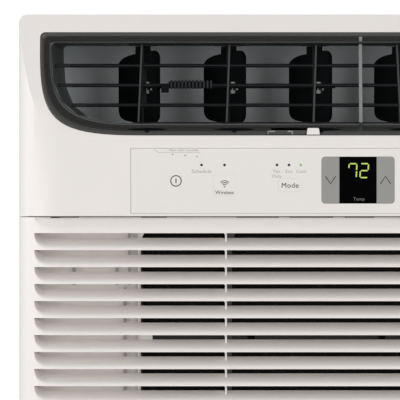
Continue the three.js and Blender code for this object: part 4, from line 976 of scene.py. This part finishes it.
def intake_grille():
    """The grille door: hollow behind, with its slots, inner ribs and hinge knuckles."""
    back, bottom, top = door_high.y, door_low.z, DOOR_TOP
    inside = FRONT + SLOTS["depth"]
    door = prism("grille_door", front_plan(HALF, FRONT, back, *CORNER, 20), "Z", bottom, top)
    floor = bottom + 2.6
    hollow_plan = front_plan(HALF - WALL, inside, back + 1, CORNER[0] - 6, 8, 8)
    hollow = prism("hollow", hollow_plan, "Z", floor, top - WALL)
    foot = box("foot", (-HALF + 26.5, HALF - 26.5), (FRONT + 2.6, back + 1), (floor, 21))
    heel_outline = [(back + 1, bottom - 1), (back + 1, 12), (back, 10), (-253.5, 4), (-254, 3)]
    heel = prism("heel", heel_outline, "X", -HALF - 1, HALF + 1)
    for tool in (hollow, foot, heel):
        combine(door, [tool])
    notches = [box("notch", xs, (FRONT + 4.5, -250), (3, 7)) for xs in mirrored([(197.5, 208.5)])]
    slots = [slot_cutter(k, SLOTS["depth"] + 3) for k in range(SLOTS["count"])]
    slots.append(slot_cutter(-1, RECESS_DEPTH, soft=True))
    combine(door, [merge("cutters", slots + notches)])
    adds = [box("rib", (x - 0.65, x + 0.65), (FRONT + 7, FRONT + 14.7), (19, 197)) for x in INNER_RIBS]
    for k in range(SLOTS["count"]):
        high, low = slot_top(k) + 1.5, slot_top(k) - 1.3
        for x in INNER_RIBS:
            flare = [(x - 2.6, high), (x + 0.4, high), (x + 0.4, low), (x - 0.6, low)]
            adds.append(prism("flare", flare, "Y", FRONT + 7.2, inside))
    adds.append(box("guide", (-152.6, -150.5), (FRONT + 16, -251.5), (20, 197)))
    chamfer = [(-151, 184), (-150, 184), (-147.8, 188.4), (-147.8, 194), (-151, 194)]
    adds.append(prism("chamfer", chamfer, "Y", FRONT + 14.6, -258.1))
    adds.append(box("tab", (-151, -142.2), (FRONT + 14.4, -258.1), (111.5, 121.5)))
    reach = 3.6
    for xs in mirrored([(194.2, 197.2), (208.8, 211.8)]):
        adds.append(box("knuckle", xs, (FRONT + 1.5, HINGE_Y + reach), (bottom + 1, HINGE_Z + reach)))
    combine(door, adds, "UNION")
    bores = [rod("bore", "X", 2, *xs, HINGE_Y, HINGE_Z, 16) for xs in mirrored([(190, 216)])]
    combine(door, bores)
    piece(door, "intake_door", WHITE, ["intake_grille"], edge=0.3, angle=32, segments=2)


def seam_shade():
    """Painted shade in the seam over the door's top edge: grey strips in the lips' places and black ones
    between them.
    """
    zs = (DOOR_TOP - 0.5, SEAM - 0.32)
    back, gap = FRONT + RECESS_DEPTH, 0.1
    ends = [-212.4] + [x for lip in LIPS for x in lip]
    between = list(zip(ends[0::2], ends[1::2]))
    rows = (("seam_lip_shade", LIPS, SEAM_SHADE_GREY, -0.3), ("seam_shade", between, SEAM_SHADE_BLACK, 0.7))
    for name, spans, material, proud in rows:
        # Painted shade: strips that fill the seam with grey and near-black.
        strips = [box("seam_shade_strip", (a + gap, b - gap), (back - proud, back + 3), zs) for a, b in spans]
        piece(merge(name, strips), "intake_door", material)


def rib_pads():
    """Grey felt pads on the right of the door's two inner ribs, cut at a slant at the top."""
    foot, bend, top = 40, (183.4, 188.4), 191
    near, far, top_far = 0.7, 4.2, 7.0
    shape = [(near, foot), (far, foot), (far, bend[0]), (top_far, bend[1]), (top_far, top), (near, top)]
    pads = [prism("pad", [(x + u, z) for u, z in shape], "Y", FRONT + 14.0, FRONT + 14.6) for x in INNER_RIBS]
    piece(merge("rib_pads", pads), "intake_door", FELT, edge=0.1)


intake_grille()
seam_shade()
rib_pads()


def filter_frame():
    """The filter's frame, with two finger notches in its middle bar."""
    low, high = extent("filter_frame")
    depth = (low.y, high.y)
    through = (low.y - 1, high.y + 1)
    edge, bar, mid, half = 1.2, 4.4, 116.4, 2.6
    plate = box("filter_bars", (low.x, high.x), depth, (low.z, high.z))
    windows = [box("window", (low.x + edge, high.x - bar), through, span)
               for span in ((low.z + bar, mid - half), (mid + half, high.z - bar))]
    notches = [box("notch", span, through, (mid - half - 0.1, mid + half - 0.8))
               for span in ((-76.2, -71.0), (14.2, 19.4))]
    combine(plate, [merge("filter_cutters", windows)])
    combine(plate, [merge("filter_notches", notches)])
    piece(plate, "intake_door", FILTER, ["filter_frame"], edge=0.4)


def box_cover():
    """The cover of the electrical box, with grey strips on its front that are painted shade for its slits and
    small holes.
    """
    low, high = extent("electrical_box_cover")
    front = high.y - 2
    plate = box("box_cover", (low.x, high.x), (front, high.y), (low.z, high.z))
    piece(plate, "housing", WHITE, ["electrical_box_cover"], edge=0.25)
    # Painted shade: grey strips where the cover's slits and small holes look dark.
    strips = [((-159.2, -157.6), (152, 190)), ((-162.4, -160.3), (24, 150)),
              ((-198, -195.6), (152, 164)), ((-168, -165.8), (152, 164))]
    made = [box("strip", xs, (low.y, front - 0.02), zs) for xs, zs in strips]
    piece(merge("cover_slit_shade_strips", made), "housing", COVER_SLIT_SHADE, edge=0.2)


filter_frame()
box_cover()
dress("filter_mesh", NET)
dress("front_frame", WHITE, 0.3)
for side in ("left", "right"):
    dress(f"door_hinge_pin_{side}", ZINC, 0.15)

# ---------------- case, coils and machine
for name, material, edge in (
    ("cabinet", CASE, 0.35), ("base_pan", ZINC, 0.35), ("rear_panel", CASE, 0.3), ("bulkhead", ZINC, 0.1),
    ("cord_gland", RUBBER, 0.5), ("evaporator_coil", FINS, 0.1), ("evaporator_tubes", COPPER, 0.0),
    ("condenser_coil", FINS, 0.0), ("condenser_tubes", COPPER, 0.0), ("drain_pan", FOAM, 0.8),
    ("blower_scroll", FOAM, 0.5), ("blower_wheel", BLADE, 0.1), ("condenser_fan", BLADE, 0.2),
    ("motor_shaft", ZINC, 0.3), ("fan_motor", STEEL, 0.8), ("motor_bracket", ZINC, 0.3),
    ("fan_shroud", ZINC, 0.2), ("compressor", STEEL, 0.6), ("suction_line", COPPER, 0.0),
    ("discharge_line", COPPER, 0.0), ("run_capacitor", FINS, 0.6),
):
    dress(name, material, edge)


def screw(x, y, z, axis, sign, r=3.6):
    """A pan-head screw with a cross recess, its head standing out along the axis."""
    tall = 1.6
    heights = ((r, 0.0), (r, tall * 0.35), (r * 0.86, tall * 0.75), (r * 0.5, tall))
    u, v, w = {"X": (y, z, x), "Y": (x, z, y), "Z": (x, y, z)}[axis]
    loops = [[place(axis, *p, w + sign * h) for p in arc(u, v, q, q, 0, 360, 20)[:-1]] for q, h in heights]
    head = loft("screw", loops)
    for a, b in ((2.0, 0.5), (0.5, 2.0)):
        outline = [(u - a, v - b), (u + a, v - b), (u + a, v + b), (u - a, v + b)]
        ends = sorted((w + sign * tall * 0.45, w + sign * tall * 1.5))
        combine(head, [prism("cross", outline, axis, *ends)])
    return head


CASE_LOUVRES = dict(count=9, first=190, pitch=13, front=40, back=168)


def case_details():
    """The screws and the louvre blades on the case's two sides."""
    side, rear = case_high.x, case_high.y - 9
    places = ((rear, 60), (rear, 270), (-205, 90), (-205, 285))
    screws = [screw(sign * side, y, z, "X", sign, 3.2) for sign in (-1, 1) for y, z in places]
    depth = (CASE_LOUVRES["front"], CASE_LOUVRES["back"])
    blades = []
    for sign in (-1, 1):
        for i in range(CASE_LOUVRES["count"]):
            z = CASE_LOUVRES["first"] + i * CASE_LOUVRES["pitch"]
            outline = [(-0.1, z - 0.4), (-0.9, z - 0.4), (-5.2, z + 3.8), (-4.4, z + 4.2)]
            blades.append(prism("blade", [(sign * (side + h), v) for h, v in outline], "Y", *depth))
    piece(merge("side_louvre_blades", blades), "housing", CASE, edge=0.1)
    piece(merge("case_screws", screws), "housing", SCREW, edge=0.08)


case_details()

# ---------------- stage, light and camera
floor_material = surface("floor_pale", (0.86, 0.86, 0.86), 0.6, mottle=0.01, mottle_scale=3)
floor_shader = floor_material.node_tree.nodes["Principled BSDF"]
floor_shader.inputs["Emission Color"].default_value = (1, 1, 1, 1)
floor_shader.inputs["Emission Strength"].default_value = 0.3
FLOOR_R = 1400
FLOOR_SIDES = 72
rim = arc(0, 0, FLOOR_R, FLOOR_R, 0, 360, FLOOR_SIDES)[:-1]
floor = solid("floor", [(x, y - 300, -0.4) for x, y in rim], [tuple(range(FLOOR_SIDES))])
floor.data.materials.append(floor_material)


def studio_world():
    """An even grey surround for the light, with a white background behind the object."""
    world = bpy.data.worlds.new("studio")
    bpy.context.scene.world = world
    world.use_nodes = True
    tree = world.node_tree
    white = (1, 1, 1, 1)
    surround = tree.nodes["Background"]
    surround.inputs["Color"].default_value = white
    surround.inputs["Strength"].default_value = 0.40
    backdrop = add_node(tree, "Background", {"Color": white, "Strength": 1.02})
    seen = add_node(tree, "LightPath").outputs["Is Camera Ray"]
    mixed = add_node(tree, "MixShader", {0: seen, 1: surround.outputs[0], 2: backdrop.outputs[0]})
    tree.links.new(mixed.outputs[0], tree.nodes["World Output"].inputs["Surface"])


studio_world()


def area_light(name, where, towards, size, power):
    """A white rectangular light in metres and watts, turned towards a point."""
    light = bpy.data.lights.new(name, "AREA")
    light.shape = "RECTANGLE"
    light.size, light.size_y = size
    light.energy = power
    holder = linked(name, light)
    holder.location = where
    holder.rotation_euler = (Vector(towards) - Vector(where)).to_track_quat("-Z", "Y").to_euler()


centre = (0, 0, HEIGHT / 2 * MM)
area_light("key", (-2.3, -2.2, 0.25), centre, (1.3, 1.3), 20)
area_light("front", (0.85, -3.2, 0.45), centre, (0.8, 0.8), 14)
area_light("above", (-0.3, -2.9, 2.0), centre, (1.6, 1.2), 6)
area_light("left_strip", (-2.2, -0.5, 0.3), centre, (0.35, 1.6), 9.6)
area_light("back", (1.9, 2.6, 1.3), centre, (1.4, 1.4), 18)

scene = bpy.context.scene
scene.view_settings.view_transform = "Standard"
camera_data = bpy.data.cameras.new("camera")
camera = linked("camera", camera_data)
scene.camera = camera
# The camera looks straight at the front from a distance, at a point left of its middle, in metres.
DISTANCE = 3.0
PICTURE_WIDTH = 0.2764
AIM_X, AIM_Z = -0.1092, 0.2111
camera_data.sensor_width = 36
camera_data.lens = camera_data.sensor_width * DISTANCE / PICTURE_WIDTH
camera_data.clip_end = 100
camera.location = (AIM_X, FRONT * MM - DISTANCE, AIM_Z)
camera.rotation_euler = (math.radians(90), 0, 0)
